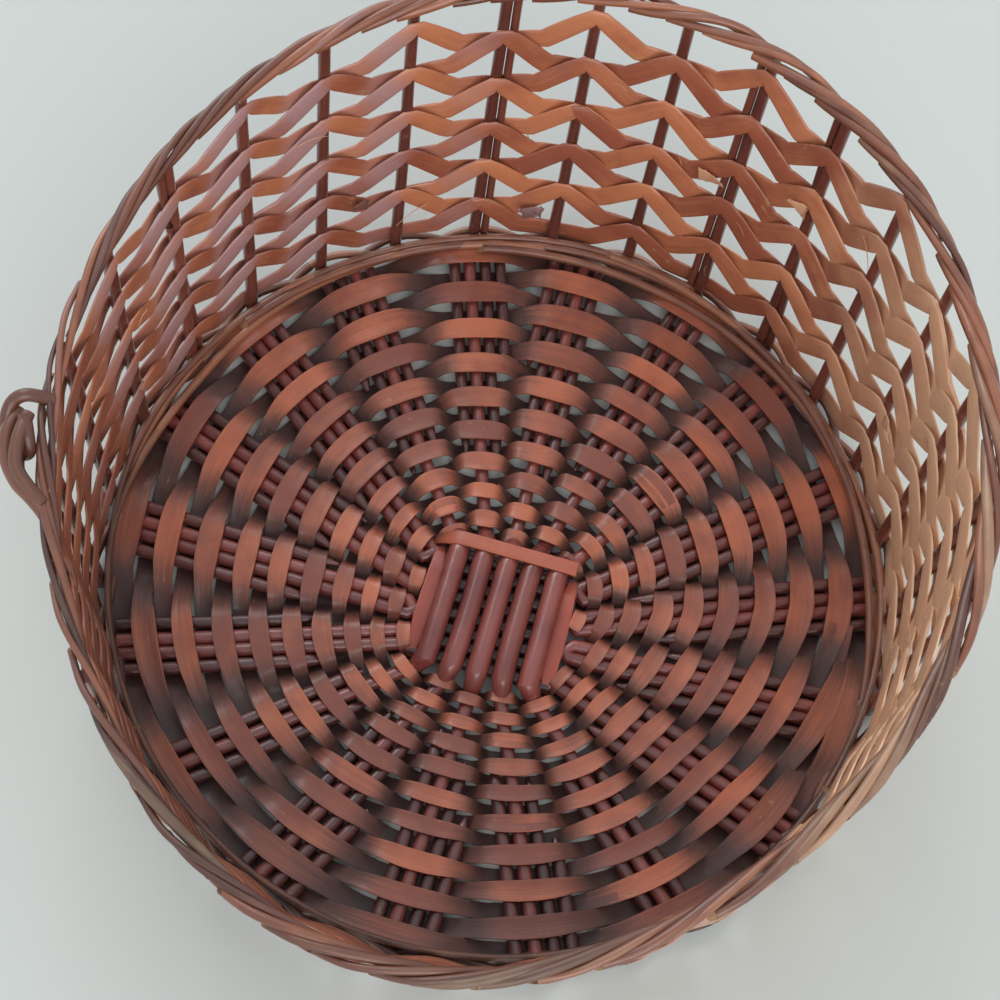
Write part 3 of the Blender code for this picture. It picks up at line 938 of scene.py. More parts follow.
@dataclass
class SlathWraps(SubAssembly):
    """Splint over the far ends of the long sticks, and a skein on each side.

    The splint's spots are given in millimetres across the sticks and up, and the skeins' along the sticks and up,
    with the share of their width.
    """

    splint_width: float = 4.6 * MM
    skein_width: float = 4.4 * MM
    thickness: float = 0.8 * MM
    squareness: float = 0.62
    sides: int = 20
    splint_line: float = 19.3 * MM
    splint_lift: float = 0.3
    splint_spots: tuple[tuple[float, float], ...] = (
        (-24.0, 4.4), (-22.6, 6.4), (-21.0, 8.2), (-19.2, 9.9), (-17.0, 11.1), (-14.0, 11.5), (-8.0, 11.55),
        (0.0, 11.5), (8.0, 11.55), (16.0, 11.5), (19.4, 11.35), (21.4, 11.1))
    skein_reach: float = 21.2 * MM
    skein_spots: tuple[tuple[float, float, float], ...] = (
        (-19.4, 3.6, 0.5), (-17.6, 5.0, 0.75), (-15.0, 6.2, 0.95), (-8.0, 6.5, 1.05), (0.0, 6.45, 1.1),
        (8.0, 6.5, 1.0), (14.6, 6.3, 0.8), (17.2, 5.2, 0.65), (19.0, 3.8, 0.5))

    def build(self) -> None:
        """Make the splint and the two skeins."""
        centre = self.form.slath_centre()
        splint = self.bundle("slath_splint_wrap", "slath_splint", self.splint_width, self.thickness,
                             squareness=self.squareness, sides=self.sides, swell_axes=(0.0, 1.0, 0.0),
                             wander=0.3 * MM, wander_scale=60.0)
        points = [centre + Vector((x * MM, self.splint_line, (z + self.splint_lift) * MM))
                  for x, z in self.splint_spots]
        # Painted shade on the splint's first end, where it tucks down.
        splint.strands.append(Strand(points, tone=0.55, show=[0.2, 0.4, 0.7, 0.8] + [1.0] * 8, cut_end=0.5,
                                     swell=[0.6, 0.7, 0.85, 1.0] + [1.0] * 8, pale=(0.0, 0.5), loose=0.6))
        self.place(splint, "floor_splint", ["slath_splint"])
        for name, hand in (("left", -1.0), ("right", 1.0)):
            skein = self.bundle(f"slath_skein_{name}_wrap", "slath_skein", self.skein_width, self.thickness,
                                squareness=self.squareness, sides=self.sides, swell_axes=(1.0, 0.0, 0.0))
            points = [centre + Vector((self.skein_reach * hand, y * MM, z * MM)) for y, z, _ in self.skein_spots]
            swell = [wide for _, _, wide in self.skein_spots]
            # Painted shade on both ends of the skein, where it tucks down.
            skein.strands.append(Strand(points, swell=swell, show=[0.3, 0.7, 1.0, 1.0, 1.0, 1.0, 0.9, 0.6, 0.3],
                                        tone=0.4 + 0.3 * hand))
            self.place(skein, "slath_rod", [f"slath_skein_{name}"])


@dataclass
class FloorWeave(SubAssembly):
    """Splints that chase each other over and under the groups of floor rods."""

    turns: int = 9
    thickness: float = 0.8 * MM
    width: float = 6.0 * MM
    steps_per_group: int = 12
    piece_groups: int = 27
    step_groups: int = 2
    drift: float = 0.45
    stain: tuple[float, float] = (-0.55, 0.5)
    seed: int = 21

    def lane_share(self, position: float, weaver: int) -> float:
        """Place of a weaver between the inner and outer round.

        Args:
            position: Groups passed since the weaver's start.
            weaver: 0 or 1.

        Returns:
            0 at the innermost round and 1 at the outermost.
        """
        turn, within = divmod(position, self.form.groups)
        if turn >= self.turns - 1:
            turn, within = self.turns - 1, 0.0
        step = min(1.0, max(0.0, (within - (self.form.groups - self.step_groups)) / self.step_groups))
        return (2.0 * (turn + step) + weaver + 0.5) / self.form.lanes

    def half_cover(self, share: float) -> float:
        """Half of the float over a group, as a share of the way to the next group.

        Args:
            share: Place between the inner and outer round.

        Returns:
            Half of the float's length, in steps from group to group.
        """
        half = self.form.stick_radius + (0.0 if share < 0.3 else blend(4.5, 5.4, share) * MM)
        radius = self.form.round_radius(0.4, share)
        return min(0.36, (half + 0.4 * MM) / (radius * TURN / self.form.groups))

    def _float_values(self, position: float, weaver: int, share: float) -> tuple[float, float]:
        """Height factor from -1 to 1, and closeness to the crest from 0 to 1.

        Args:
            position: Groups passed since the weaver's start.
            weaver: 0 or 1.
            share: Place between the inner and outer round.

        Returns:
            Height factor and closeness.
        """
        group = math.floor(position + 0.5)
        side = abs(position - group)
        cover = self.half_cover(share)
        level = 1.0 if side <= cover else math.cos(0.5 * math.pi * (side - cover) / (0.5 - cover))
        over = (group + weaver) % 2 == 0
        return (level if over else -level), 1.0 - side * 2.0

    def _knot(self, rng: random.Random) -> tuple[float, float]:
        """Sideways drift and share of the width at one group."""
        return rng.uniform(-self.drift, self.drift) * MM, rng.uniform(0.92, 1.08)

    def _piece(self, weaver: int, start: float, stop: float, rng: random.Random) -> Strand:
        """One splint of a weaver.

        Args:
            weaver: 0 or 1.
            start: Groups passed at the splint's start.
            stop: Groups passed at its end.
            rng: Source of the small irregularities.

        Returns:
            The splint.
        """
        form = self.form
        count = int((stop - start) * self.steps_per_group)
        points, swell, show = [], [], []
        wide = rng.uniform(0.93, 1.07)
        knots: dict[int, tuple[float, float]] = {}
        stains: dict[int, float] = {}
        shade = []
        for step in range(count + 1):
            position = start + (stop - start) * step / count
            share = min(1.0 - 0.5 / form.lanes, self.lane_share(position, weaver))
            lift, near = self._float_values(position, weaver, share)
            group = math.floor(position + 0.5)
            if group not in knots:
                knots[group] = self._knot(rng)
            side = position - group
            other = knots.setdefault(group + (1 if side > 0 else -1), self._knot(rng))
            shift, each = (blend(here, there, smooth(abs(side))) for here, there in zip(knots[group], other))
            angle = form.group_angle(position)
            crest = 0.35 * MM * near if lift > 0 else -0.1 * MM * near
            point = form.floor(angle, share, form.floor_mid + form.weaver_rise * lift + crest)
            half_lane = 0.5 / form.lanes
            lane = (form.floor(angle, share + half_lane, 0.0) - form.floor(angle, share - half_lane, 0.0)).length
            points.append(point + Vector((math.cos(angle), math.sin(angle), 0.0)) * shift)
            waist = blend(0.98, 1.2, smooth(abs(lift) * near * 1.25)) if lift > 0 else 0.98
            swell.append(waist * each * wide * lane / self.width)
            # Painted shade where the splint dives under a group and towards the ends of each float; the code also
            # darkens the outer rounds, most on the near side.
            fade = 1.0 - 0.5 * smooth((share - 0.8) / 0.14) * (0.7 - 0.3 * math.sin(angle))
            show.append(smooth(0.5 + 0.5 * lift) * (0.3 + 0.7 * smooth(near * 1.15)) * fade)
            shade.append(stains.setdefault(group, rng.uniform(*self.stain)))
        return Strand(points, swell=swell, show=show, tone=rng.random() * 0.6 + 0.2, loose=0.5, shade=shade)

    def build(self) -> None:
        """Make both weavers."""
        rng = random.Random(self.seed)
        total = self.turns * self.form.groups + 0.5
        for weaver in range(2):
            bundle = self.bundle(f"floor_weave_{weaver + 1}", "floor_splint", self.width, self.thickness,
                                 squareness=0.6, sides=16, crown=(0.0, 0.4 * MM), swell_axes=(1.0, 1.0, 0.0),
                                 wander=0.6 * MM, wander_scale=45.0, seed=5 + weaver)
            start = -0.3
            last = total - 0.7
            while start < last - 1.5:
                stop = min(last, start + self.piece_groups + rng.choice((-4, -2, 0, 2, 4)))
                bundle.strands.append(self._piece(weaver, start, stop, rng))
                start = stop - 1.0 if stop < last else last
            self.place(bundle, "floor_splint", [f"floor_weaver_{weaver + 1}"])


@dataclass
class EdgeBand(SubAssembly):
    """Rods twisted around the stakes' feet, and the hoop on the floor inside them.

    Each rod of the hoop has its inset and height in millimetres, and its start and end as shares of a turn.
    """

    rod_radius: float = 1.45 * MM
    lay_radius: float = 3.7 * MM
    lay_height: float = 1.6 * MM
    axis_height: float = 3.3 * MM
    hoop_radius: float = 1.4 * MM
    near_shift: float = 1.3 * MM
    near_inset: float = -0.9 * MM
    sway: float = 1.2 * MM
    starts: tuple[float, ...] = (0.0, 0.36, 0.7, 1.0)
    overlap: float = 0.03
    steps_per_stake: int = 10
    hoop_steps: int = 220
    hoops: tuple[tuple[float, float, float, float], ...] = (
        (3.0, 7.9, -0.02, 0.3), (2.6, 7.6, 0.27, 0.6), (0.9, 8.3, 0.05, 0.42), (0.5, 7.9, 0.38, 0.62),
        (-1.3, 8.6, -0.06, 0.24), (-1.5, 8.2, 0.2, 0.57), (0.9, 7.0, 0.55, 0.84), (1.2, 7.0, 0.8, 1.03))
    seed: int = 31

    def _twisted(self, number: int, rng: random.Random) -> list[Strand]:
        """One rod of the pair, in lengths that overlap.

        Args:
            number: 0 or 1.
            rng: Source of the small irregularities.

        Returns:
            The lengths of the rod.
        """
        form = self.form
        strands = []
        for begin, following in zip(self.starts, self.starts[1:]):
            stop = following + self.overlap
            points, girth, show = [], [], []
            count = int((stop - begin) * form.stakes * self.steps_per_stake)
            for part in shares(count):
                share = blend(begin, stop, part)
                angle = TURN * share + form.stake_angle(0)
                turn = form.stakes / 2 * TURN * share + math.pi * number
                near = smooth(-1.6 * math.sin(angle))
                shift = self.lay_radius * math.cos(turn) * (1.0 - 0.25 * near) + self.near_shift * near
                points.append(form.wall(angle, self.axis_height) - form.outward(angle, 0.0) * shift
                              + UP * (self.lay_height * math.sin(turn)))
                girth.append(blend(1.06, 0.9, part))
                # Painted shade on the near side of the band.
                show.append(blend(0.8, 0.25, near))
            strands.append(Strand(points, girth=girth, show=show, tone=rng.random()))
        return strands

    def _ring(self, inset: float, height: float, phase: float, begin: float, stop: float, tone: float) -> Strand:
        """A rod laid along the floor's edge that sways in and out a little.

        Args:
            inset: Distance inwards from the edge of the weave.
            height: Height above the ground.
            phase: Where the swaying starts.
            begin: Start as a share of a turn.
            stop: End as a share of a turn.
            tone: The rod's own tone.

        Returns:
            The rod.
        """
        form = self.form
        points, show, girth = [], [], []
        count = int((stop - begin) * self.hoop_steps)
        for part in shares(count):
            angle = TURN * blend(begin, stop, part)
            near = smooth(0.5 - 1.6 * math.sin(angle))
            # Painted shade on the near side of the hoop.
            show.append(blend(0.85, 0.3, near))
            girth.append(blend(1.0, 0.72, near))
            radius = (form.weave_outer - blend(inset, self.near_inset, near)
                      + self.sway * (1.0 - near) * math.sin(3.0 * angle + phase))
            lift = self.sway * 0.6 * math.cos(3.0 * angle + phase)
            points.append(Vector((radius * math.cos(angle), radius * math.sin(angle) + form.centre_y,
                                  height + lift)))
        return Strand(points, girth=girth, show=show, tone=tone, cut_start=1.5, cut_end=1.5, pale=(0.5, 0.5))

    def build(self) -> None:
        """Make the band."""
        rng = random.Random(self.seed)
        band = self.bundle("edge_band", "band_rod", 2 * self.rod_radius, wander=0.7 * MM, wander_scale=35.0, seed=8)
        for number in range(2):
            band.strands += self._twisted(number, rng)
        self.place(band, "rim_rod", ["edge_rod_1", "edge_rod_2"])
        hoop = self.bundle("floor_edge_hoop", "band_rod", 2 * self.hoop_radius, wander=0.8 * MM, wander_scale=25.0,
                           seed=9)
        for number, (inset, height, begin, stop) in enumerate(self.hoops):
            hoop.strands.append(self._ring(inset * MM, height * MM, 2.0 * number, begin, stop, rng.random()))
        self.place(hoop, "rim_rod", ["floor_hoop"])


@dataclass
class WallStakes(SubAssembly):
    """Upright rods, some with a second rod beside them."""

    second_radius: float = 1.35 * MM
    foot: float = 1.2 * MM
    second_foot: float = 2.0 * MM
    below_rim: float = 1.0 * MM
    steps: int = 24
    doubled: tuple[int, ...] = (4, 5, 8, 12, 16, 21, 25)
    crossing: tuple[int, ...] = (4, 12, 21)
    beside: float = 3.6 * MM
    beside_top: float = 3.4
    crossing_top: float = -3.0
    seed: int = 41

    def _second(self, index: int, rng: random.Random) -> Strand:
        """Thinner rod that leans along a stake or crosses behind it.

        Args:
            index: Number of the stake.
            rng: Source of the rod's tone.

        Returns:
            The rod.
        """
        form = self.form
        hand = 1.0 if index == self.doubled[1] else -1.0
        top = self.crossing_top if index in self.crossing else self.beside_top
        first, last = hand * self.beside, hand * top * MM
        points = []
        for share in shares(self.steps):
            slide = blend(first, last, smooth(share)) / form.floor_radius
            points.append(form.wall(form.stake_angle(index) + slide,
                                    blend(self.second_foot, form.height - self.below_rim, share)))
        return Strand(points, girth=self.second_radius / form.stake_radius, show=0.7, tone=rng.random(), loose=0.7)

    def build(self) -> None:
        """Make the stakes."""
        rng = random.Random(self.seed)
        form = self.form
        stakes = self.bundle("wall_stakes", "stake", 2 * form.stake_radius, sides=14, wander=0.9 * MM,
                             wander_scale=22.0, seed=12)
        for index in range(form.stakes):
            angle = form.stake_angle(index)
            points = [form.wall(angle, blend(self.foot, form.height - self.below_rim, share))
                      for share in shares(self.steps)]
            girth = [blend(1.02, 0.9, share) * rng.uniform(0.985, 1.015) for share in shares(self.steps)]
            loose = [min(1.0, step / 6, (self.steps - step) / 4) for step in range(self.steps + 1)]
            stakes.strands.append(Strand(points, girth=girth, show=0.8, tone=rng.random(), loose=loose))
            if index in self.doubled:
                stakes.strands.append(self._second(index, rng))
        self.place(stakes, "stake_bark", [f"stake_{n:02d}" for n in range(1, form.stakes + 1)])


@dataclass
class WallWeave(SubAssembly):
    """Rows of splints that pass level outside one stake and rise to a peak inside the next."""

    first_level: float = 10.8 * MM
    pitch: float = 7.75 * MM
    peak_rise: float = 10.6 * MM
    dip: float = 2.6 * MM
    right_rise: float = 0.22
    rows: int = 10
    thickness: float = 0.75 * MM
    width: float = 7.15 * MM
    outset: float = 2.45 * MM
    far_left: float = math.radians(146.0)
    narrowing: float = 0.22
    near_left: float = math.radians(235.0)
    near_shadow: float = 0.6
    tuck: float = 0.45 * MM
    steps_per_stake: int = 14
    early: float = 0.05
    overrun: float = 1.1
    stain: float = 0.28
    knot_lift: float = 0.7
    waist_inside: float = 0.74
    waist_outside: float = 0.95
    waist_between: float = 1.08
    widths: tuple[float, ...] = (0.94, 1.04, 0.96, 1.08, 0.98, 0.9, 1.06, 0.98, 0.94, 0.84)
    seed: int = 51

    def _row(self, row: int, rng: random.Random) -> list[Strand]:
        """Splints of one row.

        Args:
            row: Number of the row, from below.
            rng: Source of the small irregularities.

        Returns:
            The row's splints.
        """
        form = self.form
        level = self.first_level + row * self.pitch
        begin = rng.randrange(form.stakes)
        lengths = [form.stakes // 2 + rng.choice((-2, 0, 2))]
        lengths.append(form.stakes - lengths[0])
        strands = []
        spot = begin
        knots = {k: (rng.uniform(-self.knot_lift, self.knot_lift) * MM, rng.uniform(0.9, 1.1))
                 for k in range(-2, 2 * form.stakes + 4)}
        for length in lengths:
            points, swell, show, lean, tint, shade = [], [], [], [], [], []
            tone = rng.random()
            stains = [rng.uniform(-self.stain, self.stain) for _ in range(length + 4)]
            count = int((length + self.overrun) * self.steps_per_stake)
            for step in range(count + 1):
                place = spot - self.early + (length + self.overrun) * step / count
                stake = math.floor(place + 0.5)
                side = place - stake
                inside = (row + stake) % 2 == 0
                hand = -1.0 if inside else 1.0
                run = place - spot
                tuck = self.tuck * (smooth(1.0 - run / 1.4) - smooth((run - length + 0.3) / 1.4))
                radial = self.outset * hand * min(1.0, (0.5 - abs(side)) / 0.42) + tuck
                angle = form.stake_angle(place)
                slope = max(0.0, 1.0 - 2.0 * (math.sqrt(side * side + 0.0003) - 0.0173))
                steep = 1.0 + self.right_rise * max(0.0, math.cos(angle)) ** 2
                rise = (self.peak_rise * steep if inside else -self.dip * steep) * slope
                other = stake + (1 if side > 0 else -1)
                lift, each = (blend(here, there, smooth(abs(side)))
                              for here, there in zip(knots[stake % form.stakes], knots[other % form.stakes]))
                points.append(form.wall(angle, level + rise + lift, radial))
                waist = blend(self.waist_inside if inside else self.waist_outside, self.waist_between,
                              smooth(abs(side) * 2.0))
                open_side = max(0.0, math.cos(angle - self.far_left)) ** 2
                swell.append(waist * each * self.widths[row] * (1.0 - self.narrowing * open_side))
                # Painted shade on the near left of the wall and on the spans that pass outside the stakes.
                shadow = 1.0 - self.near_shadow * max(0.0, math.cos(angle - self.near_left)) ** 2
                show.append(shadow * blend(0.84, 1.0 if inside else 0.7, 1.0 - 2.0 * abs(side)))
                lean.append(form.outward(angle, level) * -form.wall_slope(angle))
                # Painted reflection: more of it on the climbing half of each inside span, less on the falling half.
                climbs = (1.0 if side > 0.0 else -1.0) if inside else 0.0
                sheen = 1.0 + 1.2 * climbs * math.sin(TURN * abs(side))
                tint.append(form.wall_tint(angle, sheen))
                first = min(length + 2, max(0, math.floor(run + 1.0)))
                shade.append(blend(stains[first], stains[first + 1], smooth(run + 1.0 - first)))
            strands.append(Strand(points, swell=swell, show=show, tone=tone, loose=0.4, lean=lean, tint=tint,
                                  shade=shade))
            spot += length
        return strands

    def build(self) -> None:
        """Make each row as a piece."""
        rng = random.Random(self.seed)
        for row in range(self.rows):
            bundle = self.bundle(f"wall_row_{row + 1:02d}", "wall_splint", self.thickness, self.width,
                                 squareness=0.6, sides=16, crown=(-0.3 * MM, 0.0), swell_axes=(0.0, 0.0, 1.0),
                                 wander=0.9 * MM, wander_scale=30.0, seed=60 + row)
            bundle.strands = self._row(row, rng)
            self.place(bundle, "wall_splint", [f"wall_splint_{row + 1:02d}"])


@dataclass
class Border(SubAssembly):
    """Rods bent over the rim, each from the inside over the top to a cut end outside."""

    rods: int = 58
    rod_radius: float = 1.42 * MM
    lay_radius: float = 2.2 * MM
    reach: float = 0.39
    first_lay: float = math.radians(-55.0)
    last_lay: float = math.radians(188.0)
    end_tuck: float = 0.3
    left_slimness: float = 0.22
    steps: int = 26
    seed: int = 71

    def _rod(self, index: int, rng: random.Random) -> Strand:
        """One rod of the border.

        Args:
            index: Number of the rod around the rim.
            rng: Source of the small irregularities.

        Returns:
            The rod.
        """
        form = self.form
        start = TURN * index / self.rods + rng.uniform(-0.02, 0.02)
        length = self.reach * rng.uniform(0.9, 1.12)
        last = self.last_lay + rng.uniform(-0.5, 0.4)
        points, girth = [], []
        bulge = rng.uniform(-0.5, 0.5) * MM
        thick = rng.uniform(0.75, 1.15)
        for share in shares(self.steps):
            angle = start - length * share
            lay = blend(self.first_lay, last, share)
            slim = (blend(0.86, 1.0, 0.5 + 0.5 * math.sin(angle))
                    - self.left_slimness * max(0.0, -math.cos(angle)) ** 2)
            radius = (self.lay_radius * slim * (1.0 - self.end_tuck * smooth((share - 0.75) * 4.0))
                      + bulge * math.sin(math.pi * share))
            axis = form.wall(angle, form.height)
            outward = form.outward(angle, form.height)
            points.append(axis - outward * (radius * math.cos(lay)) + UP * (radius * math.sin(lay)))
            girth.append(blend(1.06, 0.88, share) * thick * slim * rng.uniform(0.985, 1.015))
        # A quarter of the wall's painted reflection and painted light, then painted light on the far side of the rim
        # and painted shade on the near side.
        tint = form.wall_tint(start) * 0.25 + rng.uniform(-0.3, 0.3)
        far = 0.5 + 0.5 * math.sin(start)
        return Strand(points, girth=girth, show=blend(rng.uniform(0.1, 0.75), rng.uniform(0.55, 1.0), far),
                      tone=blend(rng.uniform(-0.1, 0.6), rng.uniform(0.0, 1.0), far), cut_end=1.4, tint=tint,
                      pale=(0.0, rng.choice((0.0, 0.0, 0.6, 0.8))), loose=0.5)

    def build(self) -> None:
        """Make the border."""
        rng = random.Random(self.seed)
        border = self.bundle("border", "border_rod", 2 * self.rod_radius, wander=0.8 * MM, wander_scale=35.0,
                             seed=14)
        border.strands = [self._rod(index, rng) for index in range(self.rods)]
        self.place(border, "rim_rod", ["rim_rod_1", "rim_rod_2", "rim_rod_3"])


@dataclass
class BorderEar(SubAssembly):
    """Rods wound in a knot over the outside of the border.

    Each rod passes through spots given in millimetres: along the rim, out of it and up.
    """

    azimuth: float = math.radians(198.5)
    rod_radius: float = 1.75 * MM
    rods: tuple[tuple[float, tuple[tuple[float, float, float], ...]], ...] = (
        (0.25, ((-11.5, -0.8, 0.8), (-10.5, 4.5, 4.6), (-9.0, 8.2, 3.4), (-5.5, 9.8, 0.6), (-2.0, 8.6, -1.6),
                (0.5, 6.0, -2.0), (1.0, 3.8, 0.5), (-1.5, 3.6, 3.6), (-6.0, 4.6, 4.4))),
        (0.5, ((-8.5, 6.6, 1.2), (-3.0, 9.0, 2.0), (3.0, 9.0, 1.6), (8.5, 6.6, 1.2), (12.5, 3.2, 1.6),
               (16.5, 0.2, 0.8))),
        (0.1, ((-3.5, 6.0, -1.0), (3.5, 7.0, -1.5), (9.0, 5.0, -1.0), (13.0, 2.4, -0.8), (17.0, 0.0, -1.0))),
        (0.4, ((-6.5, 3.8, 3.9), (0.0, 5.6, 4.6), (6.0, 5.9, 4.2), (10.5, 3.4, 3.0), (14.5, 0.2, 1.4))))

    def build(self) -> None:
        """Make the knot."""
        form = self.form
        reach = form.rim_half_width
        ear = self.bundle("border_ear", "border_rod", 2 * self.rod_radius, sides=14, wander=0.4 * MM,
                          wander_scale=60.0, seed=15)
        for tone, spots in self.rods:
            placed = [form.wall(self.azimuth + along * MM / reach, form.height, out * MM) + UP * up * MM
                      for along, out, up in spots]
            ear.strands.append(Strand(curve_through(placed), show=0.45, tone=tone, cut_end=0.8, pale=(0.0, 0.5)))
        self.place(ear, "rim_rod", ["rim_loop"])


@dataclass
class LooseEnds(SubAssembly):
    """Torn flakes and fine fibres that stand off the wall.

    Each wall row gives an azimuth in degrees, a height, and then the shares of the size by which the piece runs
    along the wall, off it and up.
    """

    flakes: tuple[tuple[float, ...], ...] = (
        (99.0, 19.5, 8.0, 1.0, -0.25, 0.35, -0.9), (102.0, 18.0, 5.0, -0.8, -0.3, 0.5, -0.8),
        (76.0, 52.0, 9.0, -1.0, -0.2, 0.3, 0.6), (58.0, 63.0, 7.0, 0.9, -0.25, 0.2, 0.7),
        (128.0, 30.0, 6.0, 1.0, -0.2, 0.3, -0.4), (30.0, 40.0, 7.0, -1.0, -0.3, 0.2, 0.9))
    fibres: tuple[tuple[float, ...], ...] = (
        (103.0, 47.0, 11.0, 0.25, -0.2, 1.0), (79.0, 52.0, 8.0, 0.3, -0.3, 0.9),
        (118.0, 24.0, 13.0, 0.9, -0.2, -0.4), (150.0, 50.0, 12.0, 1.0, -0.25, 0.5),
        (66.0, 40.0, 9.0, 0.4, -0.25, 0.8), (140.0, 66.0, 10.0, -0.9, -0.3, 0.2),
        (20.0, 60.0, 12.0, 0.8, -0.25, 0.4), (-5.0, 50.0, 14.0, 0.9, -0.2, -0.3),
        (170.0, 58.0, 10.0, 0.9, -0.3, 0.4),
        (48.0, 74.0, 11.0, -0.8, -0.2, -0.5), (-20.0, 70.0, 12.0, 0.7, -0.35, 0.5),
        (90.0, 70.0, 7.0, 0.6, -0.3, 0.7))
    root_inset: float = -3.4 * MM
    flake_width: float = 5.0 * MM
    flake_thickness: float = 0.5 * MM
    fibre_width: float = 0.42 * MM
    nodes: tuple[str, ...] = ("wall_splint_03",)
    seed: int = 91

    def _off_wall(self, row: tuple[float, ...]) -> list[Vector]:
        """Chain that starts on the wall's inside and curls away from it.

        Args:
            row: Azimuth, height, size, and the shares along, off and up.

        Returns:
            The chain.
        """
        angle, height, size, along, off, rise = row[:6]
        start, base = math.radians(angle), height * MM
        spots = []
        for part in (0.0, 0.35, 0.7, 1.0):
            turn = start + along * size * part * MM / self.form.floor_radius
            inset = self.root_inset + off * size * part * part * MM
            spots.append(self.form.wall(turn, base, inset) + UP * rise * size * part * MM)
        return curve_through(spots, 5)

    def build(self) -> None:
        """Make the flakes and the fibres."""
        rng = random.Random(self.seed)
        flakes = self.bundle("wall_flakes", "wall_splint", self.flake_thickness, self.flake_width, squareness=0.5,
                             swell_axes=(0.0, 0.0, 1.0))
        for row in self.flakes:
            points = self._off_wall(row)
            swell = [blend(1.1, 0.15, smooth(share)) * rng.uniform(0.85, 1.1) for share in shares(len(points) - 1)]
            # A flake with a tint below 0 takes the painted reflection and painted shade, the others painted light.
            flakes.strands.append(Strand(points, swell=swell, show=0.2 if row[6] < 0 else 1.0, tint=row[6],
                                         tone=rng.random(), loose=0.0))
        self.place(flakes, "wall_splint", self.nodes)
        fibres = self.bundle("wall_fibres", "wall_splint", self.fibre_width, sides=6)
        for row in self.fibres:
            points = self._off_wall(row)
            girth = [blend(1.0, 0.35, share) for share in shares(len(points) - 1)]
            # The fibres take the pale colour of the painted light.
            fibres.strands.append(Strand(points, girth=girth, tone=rng.random(), tint=0.5))
        self.place(fibres, "wall_splint", self.nodes)


@dataclass
class Studio:
    """Pale ground, soft lights and the camera."""

    lens: float = 50.72
    eye: tuple[float, float, float] = (0.01447, -0.17429, 0.4137)
    right: tuple[float, float, float] = (0.9636, 0.25682, 0.07432)
    up: tuple[float, float, float] = (-0.26382, 0.86835, 0.41997)
    forward: tuple[float, float, float] = (-0.04332, 0.42429, -0.90449)
    ground_half: float = 3.0
    ground_colour: Colour = srgb(206, 210, 205)
    room_colour: Colour = (0.86, 0.9, 0.95, 1.0)
    room_strength: float = 0.79
    target: tuple[float, float, float] = (0.0, 0.0, 0.05)
    lamp_size: float = 2.0
    lamps: tuple[tuple[str, tuple[float, float, float], float, tuple[float, float, float]], ...] = (
        ("window", (-1.5, 2.3, 2.3), 41.0, (0.95, 0.98, 1.0)),
        ("fill", (1.0, -2.2, 1.5), 36.0, (1.0, 0.98, 0.95)))

    def _ground(self) -> None:
        """Lay the pale ground."""
        mesh = bpy.data.meshes.new("ground")
        half = self.ground_half
        mesh.from_pydata([(-half, -half, 0.0), (half, -half, 0.0), (half, half, 0.0), (-half, half, 0.0)], [],
                         [(0, 1, 2, 3)])
        ground = make_object("ground", mesh)
        material = bpy.data.materials.new("pale_ground")
        material.use_nodes = True
        shader = material.node_tree.nodes["Principled BSDF"]
        shader.inputs["Base Color"].default_value = self.ground_colour
        shader.inputs["Roughness"].default_value = 0.9
        shader.inputs["Specular IOR Level"].default_value = 0.1
        mesh.materials.append(material)

    def _lamp(self, name: str, place: Vector, power: float, colour: tuple[float, float, float]) -> None:
        """Hang a soft square lamp that faces the basket.

        Args:
            name: The lamp's name.
            place: Where it hangs.
            power: Its power in watts.
            colour: Colour of its light.
        """
        light = bpy.data.lights.new(name, "AREA")
        light.shape = "SQUARE"
        light.size = self.lamp_size
        light.energy = power
        light.color = colour
        lamp = make_object(name, light)
        lamp.location = place
        lamp.rotation_euler = (place - Vector(self.target)).to_track_quat("Z", "Y").to_euler()

    def build(self) -> None:
        """Set up the stage."""
        self._ground()
        for name, place, power, colour in self.lamps:
            self._lamp(name, Vector(place), power, colour)
        world = bpy.data.worlds.new("soft_room")
        world.use_nodes = True
        background = world.node_tree.nodes["Background"]
        background.inputs["Color"].default_value = self.room_colour
        background.inputs["Strength"].default_value = self.room_strength
        bpy.context.scene.world = world
        camera_data = bpy.data.cameras.new("camera")
        camera_data.sensor_fit = "HORIZONTAL"
        camera_data.sensor_width = 36.0
        camera_data.lens = self.lens
        camera_data.clip_start = 0.01
        camera = make_object("camera", camera_data)
        back = -Vector(self.forward)
        turn = Matrix((Vector(self.right), Vector(self.up), back)).transposed()
        camera.matrix_world = Matrix.Translation(Vector(self.eye)) @ turn.to_4x4()
        bpy.context.scene.camera = camera
        bpy.context.scene.view_settings.view_transform = "Standard"
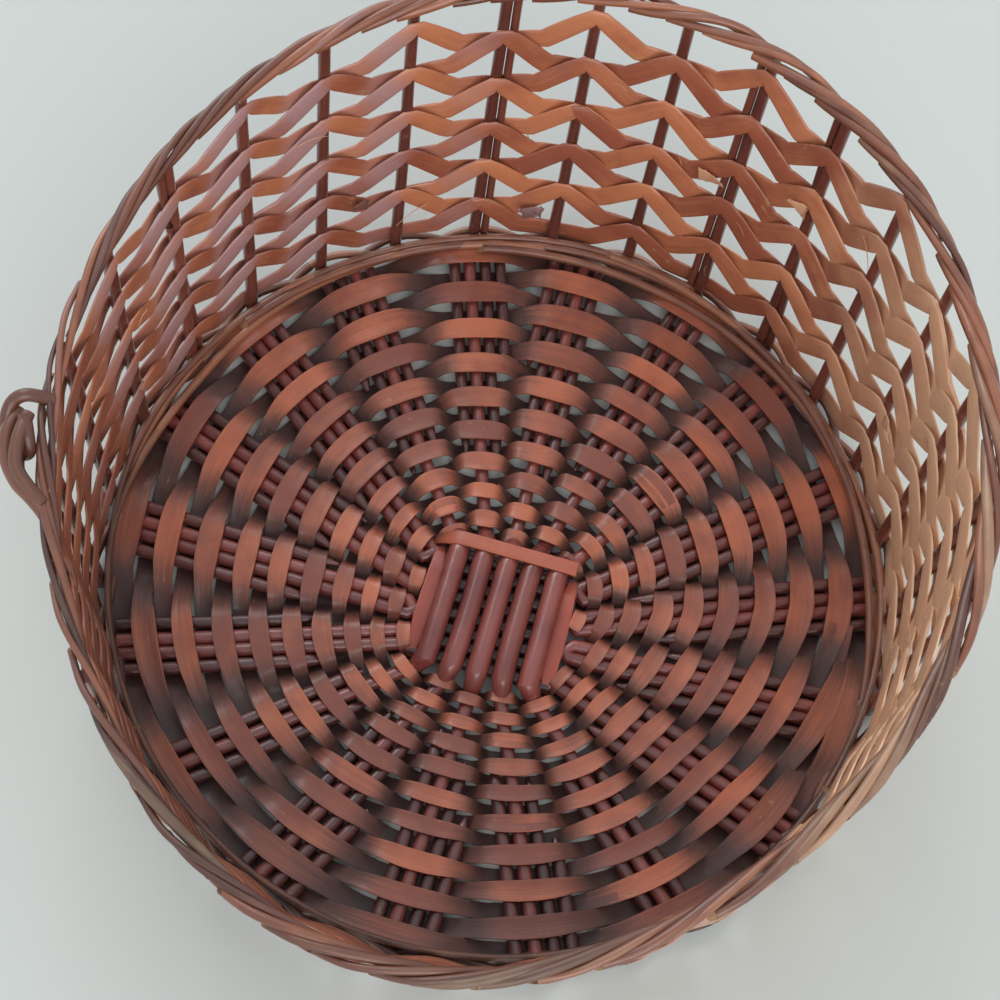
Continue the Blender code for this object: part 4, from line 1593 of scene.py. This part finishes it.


# Each finish gives light and main colours of the wood, and a dark colour used mostly as painted shade.
FINISHES: tuple[WillowFinish, ...] = (
    WillowFinish("wall_splint", srgb(208, 132, 92), srgb(156, 87, 64), srgb(96, 55, 44), scuffs=0.55, rough=0.34,
                 coat=0.45, patchiness=1.0),
    WillowFinish("floor_splint", srgb(198, 112, 78), srgb(136, 74, 58), srgb(82, 58, 54), scuffs=0.4, rough=0.38,
                 rough_dark=0.55, coat=0.35, patchiness=1.2),
    WillowFinish("stake", srgb(134, 72, 56), srgb(90, 46, 38), srgb(48, 27, 25), rough=0.3, coat=0.6, along=24.0,
                 across=520.0, relief=0.0002),
    WillowFinish("floor_rod", srgb(122, 66, 60), srgb(74, 39, 37), srgb(40, 25, 25), rough=0.26, coat=0.8,
                 along=24.0, across=520.0, relief=0.0002),
    WillowFinish("slath_rod", srgb(156, 82, 74), srgb(112, 52, 47), srgb(60, 32, 30), rough=0.24, coat=0.8,
                 along=22.0, across=480.0, relief=0.0002),
    WillowFinish("slath_splint", srgb(196, 108, 80), srgb(166, 84, 62), srgb(96, 52, 44), rough=0.4, coat=0.3),
    WillowFinish("slath_skein", srgb(190, 92, 70), srgb(156, 66, 50), srgb(86, 42, 36), rough=0.38, coat=0.4),
    WillowFinish("band_rod", srgb(176, 114, 80), srgb(118, 70, 54), srgb(62, 42, 36), rough=0.4, coat=0.35,
                 along=24.0, across=520.0, relief=0.00018),
    WillowFinish("border_rod", srgb(178, 112, 80), srgb(110, 64, 50), srgb(52, 34, 30), rough=0.36, coat=0.45,
                 along=24.0, across=520.0, relief=0.00018),
)


def main() -> None:
    """Build the basket and its stage, and report each piece."""
    logging.basicConfig(level=logging.INFO, format="%(name)s %(message)s")
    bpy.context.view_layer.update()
    trees = {section: SweepTree(section) for section in Section}
    effects = EffectGroups()
    finishes = {finish.name: finish.build(effects) for finish in FINISHES}
    form = BasketForm()
    for kind in (FloorSticks, SlathWraps, FloorWeave, EdgeBand, WallStakes, WallWeave, Border, BorderEar, LooseEnds):
        kind(form, finishes, trees).build()
        LOG.info("built %s", kind.__name__)
    Studio().build()
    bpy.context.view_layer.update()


if __name__ == "__main__":
    main()
